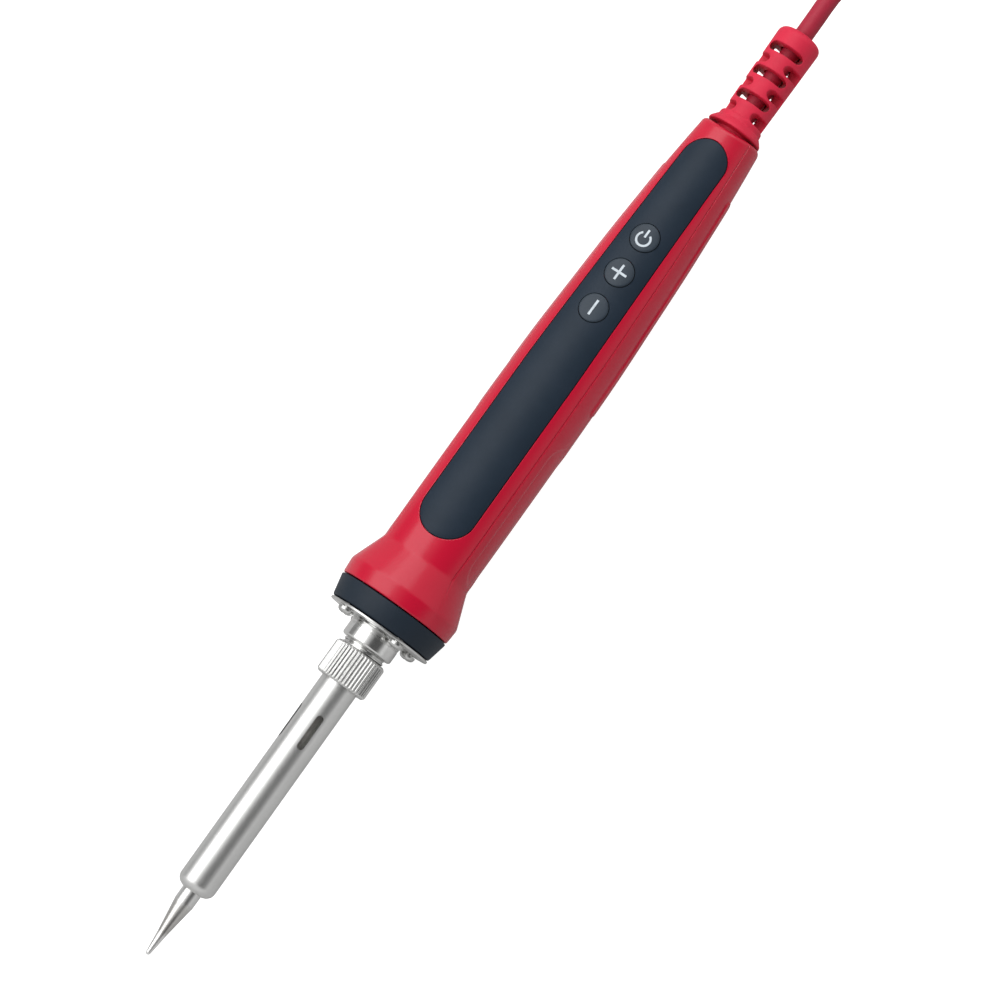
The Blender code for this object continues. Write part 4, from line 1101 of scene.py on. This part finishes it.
CORD_RADIUS = 2.45
CORD = 2 * CORD_RADIUS
ROUTE = (
    (250.0, 0.0, 0.0), (257.0, 0.0, 0.0), (264.0, 0.0, 0.0), (271.0, 0.0, 0.0), (277.5, 0.0, 0.0),
    (284.0, 0.0, 0.0), (290.0, 0.0, 0.0), (296.0, -0.7, -0.6), (302.0, -2.7, -2.5), (308.0, -5.6, -5.2),
    (314.0, -8.6, -8.0), (320.0, -11.1, -10.3), (326.0, -12.7, -11.8), (331.0, -13.2, -12.3),
)
HANK_NEAR = 346.0
HANK_FAR = 393.9
HANK_Y = 6.4
OUTER = 4 * CORD
INNER = 3 * CORD
FLOOR = -AXIS.z / MM
LAYERS = [FLOOR + 3.35 + CORD * layer for layer in range(3)]
OVER_TIE = FLOOR + 19.25
PLUG_LEVEL = middle_of("plug_body").z
PLUG_Y = middle_of("plug_body").y


def smooth_route(spots, spacing):
    """Points about a spacing apart on a smooth curve through the spots."""
    spots = [Vector(spot) for spot in spots]
    ends = [2 * spots[0] - spots[1], *spots, 2 * spots[-1] - spots[-2]]
    route = []
    for before, first, second, after in zip(ends, ends[1:], ends[2:], ends[3:]):
        pieces = max(1, round((second - first).length / spacing))
        for piece in range(pieces):
            t = piece / pieces
            route.append(
                0.5
                * (
                    2 * first
                    + t * (second - before)
                    + t**2 * (2 * before - 5 * first + 4 * second - after)
                    + t**3 * (3 * first - before - 3 * second + after)
                )
            )
    route.append(spots[-1])
    return route


def hank_route():
    """The folded turns, layer on layer, then the last run over the tie to the plug."""
    low_outer, low_inner = HANK_Y - OUTER, HANK_Y - INNER
    high_outer, high_inner = HANK_Y + OUTER, HANK_Y + INNER
    # (lane, lane back, lane after the near fold, how far that fold reaches, layer, layer after the fold)
    turns = (
        (low_outer, high_outer, low_inner, 2.0, 0, 0),
        (low_inner, high_inner, low_inner, 0.0, 0, 1),
        (low_inner, high_inner, low_outer, 2.0, 1, 1),
        (low_outer, high_outer, low_outer, 4.0, 1, 2),
        (low_outer, high_outer, low_inner, 2.0, 2, 2),
        (low_inner, high_inner, low_outer, 0.0, 2, 3),
    )
    levels = [*LAYERS, OVER_TIE]
    route = []
    for lane, back, following, reach, level, after in turns:
        start, rise = levels[level], levels[after] - levels[level]
        flat = [(x, lane) for x in span(HANK_NEAR, HANK_FAR, 6.0)]
        flat += arc((HANK_FAR, (lane + back) / 2), (back - lane) / 2, -90.0, 90.0, 18)
        flat += [(HANK_FAR - step, back) for step in span(0.0, HANK_FAR - HANK_NEAR + reach, 4.0)[1:]]
        fold_start = len(flat)
        flat += arc((HANK_NEAR - reach, (back + following) / 2), (back - following) / 2, 90.0, 270.0, 20)
        # the last climb starts earlier and ends before its fold does, well before the tie
        lead_in, share = (14.0, 130.0 / 180.0) if after == 3 else (12.0, 1.0)
        fold_length = math.pi * (back - following) / 2 * share
        if after != 3:
            fold_length += lead_in
        travelled = [0.0]
        for (x0, y0), (x1, y1) in zip(flat, flat[1:]):
            travelled.append(travelled[-1] + math.hypot(x1 - x0, y1 - y0))
        begin = travelled[fold_start] - lead_in
        for (x, y), distance in zip(flat, travelled):
            climbed = rise * ease((distance - begin) / (lead_in + fold_length))
            route.append((x, y, start + climbed))
    last_y = low_outer
    fold_radius = (PLUG_Y - last_y) / 2
    climb = PLUG_LEVEL - OVER_TIE
    route += [(x, last_y, OVER_TIE) for x in span(HANK_NEAR, HANK_FAR, 6.0)]
    for x, y in arc((HANK_FAR, last_y + fold_radius), fold_radius, -90.0, 90.0, 18):
        route.append((x, y, OVER_TIE + climb * ease((y - last_y) / (2 * fold_radius))))
    route.append((along("plug_body")[1] + 0.1, PLUG_Y, PLUG_LEVEL))
    return route


def make_cord():
    spots = smooth_route([*ROUTE, *hank_route()], 2.6)
    curve = bpy.data.curves.new("mains_lead", "CURVE")
    curve.dimensions = "3D"
    curve.bevel_depth = CORD_RADIUS * MM
    curve.bevel_resolution = 6
    curve.use_fill_caps = True
    spline = curve.splines.new("POLY")
    spline.points.add(len(spots) - 1)
    for knot, spot in zip(spline.points, spots):
        knot.co = (*at(*spot), 1.0)
    lead = placed("mains_lead", curve)
    settle(lead, SHEATH, "handle", "cord_sheath", "power_cord", "cord_hank", "cord_tail")
    return lead


def make_tie():
    """A hook-and-loop strap round the hank."""
    low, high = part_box("cord_tie")
    start, end = along("cord_tie")
    middle = middle_of("cord_tie")
    half_height = (high.z - low.z) / MM / 2
    half_width = (high.y - low.y) / MM / 2
    corner = 2.4
    thick = 0.55
    outline = rounded_box(half_width, half_height, corner, 8)
    layers = [(start, 0.15), (start + 0.2, 0.0), (end - 0.2, 0.0), (end, 0.15), (end, thick), (start, thick)]
    rings = []
    for x, inset in layers:
        ring = []
        for a, b in outline:
            off_a = a - (a / math.hypot(a, b)) * inset
            off_b = b * (1 - inset / half_height)
            if abs(b) > half_height - corner:
                off_b = b - math.copysign(1.0, b) * inset
            ring.append(at(x, middle.y + off_a, middle.z + off_b))
        rings.append(ring)
    strap = loft("hank_strap", rings, looped=True)
    return settle(strap, FABRIC, "handle", "tie_fabric", "cord_tie", smooth=40.0)


PLUG_NECK_LENGTH = 20.0
PLUG_HALF_WIDTH = 11.0
PLUG_HALF_HEIGHT = 6.5
PLUG_CORNER = 3.4
EYE_RADIUS = 1.5


def make_plug_body():
    """A moulded plug with finger grooves across it and a ribbed neck."""
    start, rear = along("plug_body")
    shoulder = rear - PLUG_NECK_LENGTH
    width, height = PLUG_HALF_WIDTH, PLUG_HALF_HEIGHT
    stations = [(start, width - 0.8, height - 0.8), (start + 0.25, width - 0.25, height - 0.25)]
    stations += [(start + 0.8, width, height), (start + 6.0, width, height)]
    for groove in range(5):
        x = start + 7.0 + groove * 2.6
        stations += [(x, width - 0.25, height), (x + 0.4, width - 1.0, height)]
        stations += [(x + 1.0, width - 1.0, height), (x + 1.4, width - 0.25, height)]
    stations += [(start + 20.5, width - 0.6, height - 0.1), (start + 23.5, width - 2.4, height - 0.5)]
    stations += [(start + 25.7, width - 4.6, height - 1.2), (shoulder, width - 6.6, height - 2.2)]
    rings = []
    for x, *halves in stations:
        outline = rounded_box(*(max(half, PLUG_CORNER + 0.1) for half in halves), PLUG_CORNER, 10)
        rings.append([at(x, PLUG_Y + y, PLUG_LEVEL + z) for y, z in outline])
    body = loft("plug_moulding", rings, capped=True)
    profile = [(shoulder - 3.0, 0.0), (shoulder - 3.0, 4.6)]
    for rib in range(6):
        x = shoulder - 0.2 + rib * 3.2
        reach = 4.9 - rib * 0.22
        profile += [(x, reach - 0.9), (x + 0.4, reach - 0.25), (x + 0.7, reach), (x + 1.7, reach - 0.05)]
        profile += [(x + 2.0, reach - 0.3), (x + 2.4, reach - 0.95)]
    profile += [(rear, 2.95), (rear, 0.0)]
    combine(body, revolve("plug_neck", profile, 64, (PLUG_Y, PLUG_LEVEL)), "UNION")
    return settle(body, BLACK, "handle", "black_plastic", "plug_body", smooth=38.0)


def make_blade(node):
    """A flat blade with bevelled edges, a rounded nose and an eye."""
    start, end = along(node)
    low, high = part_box(node)
    y = middle_of(node).y
    half = (high.z - low.z) / MM / 2
    thin = (high.y - low.y) / MM / 2
    bevel = 0.25
    nose = [(start, 2.0 - half), (start + 0.4, 1.0 - half), (start + 1.4, 0.2 - half), (start + 2.4, -half)]
    outline = nose + [(end, -half), (end, half)] + [(x, -z) for x, z in reversed(nose)]
    rings = []
    for off, inset in ((-thin, bevel), (-thin + bevel, 0.0), (thin - bevel, 0.0), (thin, bevel)):
        ring = []
        for x, z in outline:
            near = x + inset if x < end else x
            ring.append(at(near, y + off, PLUG_LEVEL + z * (1.0 - inset / half)))
        rings.append(ring)
    blade = loft(node.replace("plug_", ""), rings, capped=True)

    def across(a, b, off):
        return at(a, y + off, PLUG_LEVEL + b)

    eye = arc((start + 3.2, 0.0), EYE_RADIUS, 0.0, 345.0, 23)
    combine(blade, prism("eye", eye, -2.0, 2.0, across))
    return settle(blade, BRASS, "handle", "brass", node, smooth=35.0)


lead = make_cord()
strap = make_tie()
plug = make_plug_body()
blades = [make_blade(node) for node in ("plug_blade_1", "plug_blade_2")]
make_tip()
make_barrel()
make_nut()
make_collar()
make_front()
make_case_screws()
make_shells()
make_panel()
make_keys()
make_boot()


# ---------------------------------------------------------------- stage and light


def make_floor():
    """A pale floor, which glows towards the camera only, so that it doesn't light the iron from below."""
    form = bmesh.new()
    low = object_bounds()[0][2]
    corners = ((-4.0, -4.0), (4.0, -4.0), (4.0, 4.0), (-4.0, 4.0))
    form.faces.new([form.verts.new((x, y, low)) for x, y in corners])
    floor = as_object("floor", form)
    finish = surface(
        "pale_floor", (0.35, 0.35, 0.35), (0.75, 0.85), mottle=3.0, grain=60.0, grain_height=0.002,
        colours=((0.345, 0.345, 0.35), (0.355, 0.355, 0.355)),
        sockets={"Emission Color": (1.0, 1.0, 1.0, 1.0)},
    )
    tree = finish.node_tree
    path = tree.nodes.new("ShaderNodeLightPath")
    glow = spread(tree, path, "Is Camera Ray", 0.15, 0.95, 0.0, 1.0)
    link(tree, glow, "Result", tree.nodes["Principled BSDF"], "Emission Strength")
    floor.data.materials.append(finish)


def make_light(name, place, aim, size, power):
    lamp = bpy.data.lights.new(name, "AREA")
    lamp.shape = "RECTANGLE"
    lamp.size, lamp.size_y = size
    lamp.energy = power
    item = placed(name, lamp)
    item.location = place
    item.rotation_euler = (Vector(aim) - Vector(place)).to_track_quat("-Z", "Y").to_euler()


DARK_STRIPS = (  # direction, the cosines where it begins and where it is full, how much light it leaves
    ((0.0, -0.64, 0.77), 0.8, 0.95, 0.12),
    ((0.0, 0.98, 0.2), 0.9, 0.99, 0.35),
)
ROOM_BRIGHTNESS = 0.75


def make_world():
    """A pale room with a dark strip on each side, which the glossy handle and the steel reflect."""
    world = bpy.data.worlds.new("room")
    world.use_nodes = True
    tree = world.node_tree
    backdrop = tree.nodes["Background"]
    where = tree.nodes.new("ShaderNodeTexCoord")
    shades = []
    for direction, edge, core, left in DARK_STRIPS:
        facing = vector_step(tree, "DOT_PRODUCT", where, "Generated", Vector(direction).normalized())
        shades.append((spread(tree, facing, "Value", 1.0, left, edge, core), "Result"))
    both = combined(tree, "MULTIPLY", *shades)
    link(tree, both, "Value", backdrop, "Color")
    backdrop.inputs["Strength"].default_value = ROOM_BRIGHTNESS
    bpy.context.scene.world = world


make_floor()
make_world()
make_light("overhead_softbox", (0.05, 0.55, 1.0), (0.0, 0.0, 0.0), (1.7, 1.0), 10.0)
make_light("end_softbox", (1.0, 0.15, 0.75), (0.05, 0.0, 0.0), (0.8, 0.8), 3.2)
bpy.context.scene.view_settings.view_transform = "Standard"
bpy.context.scene.view_settings.look = "None"
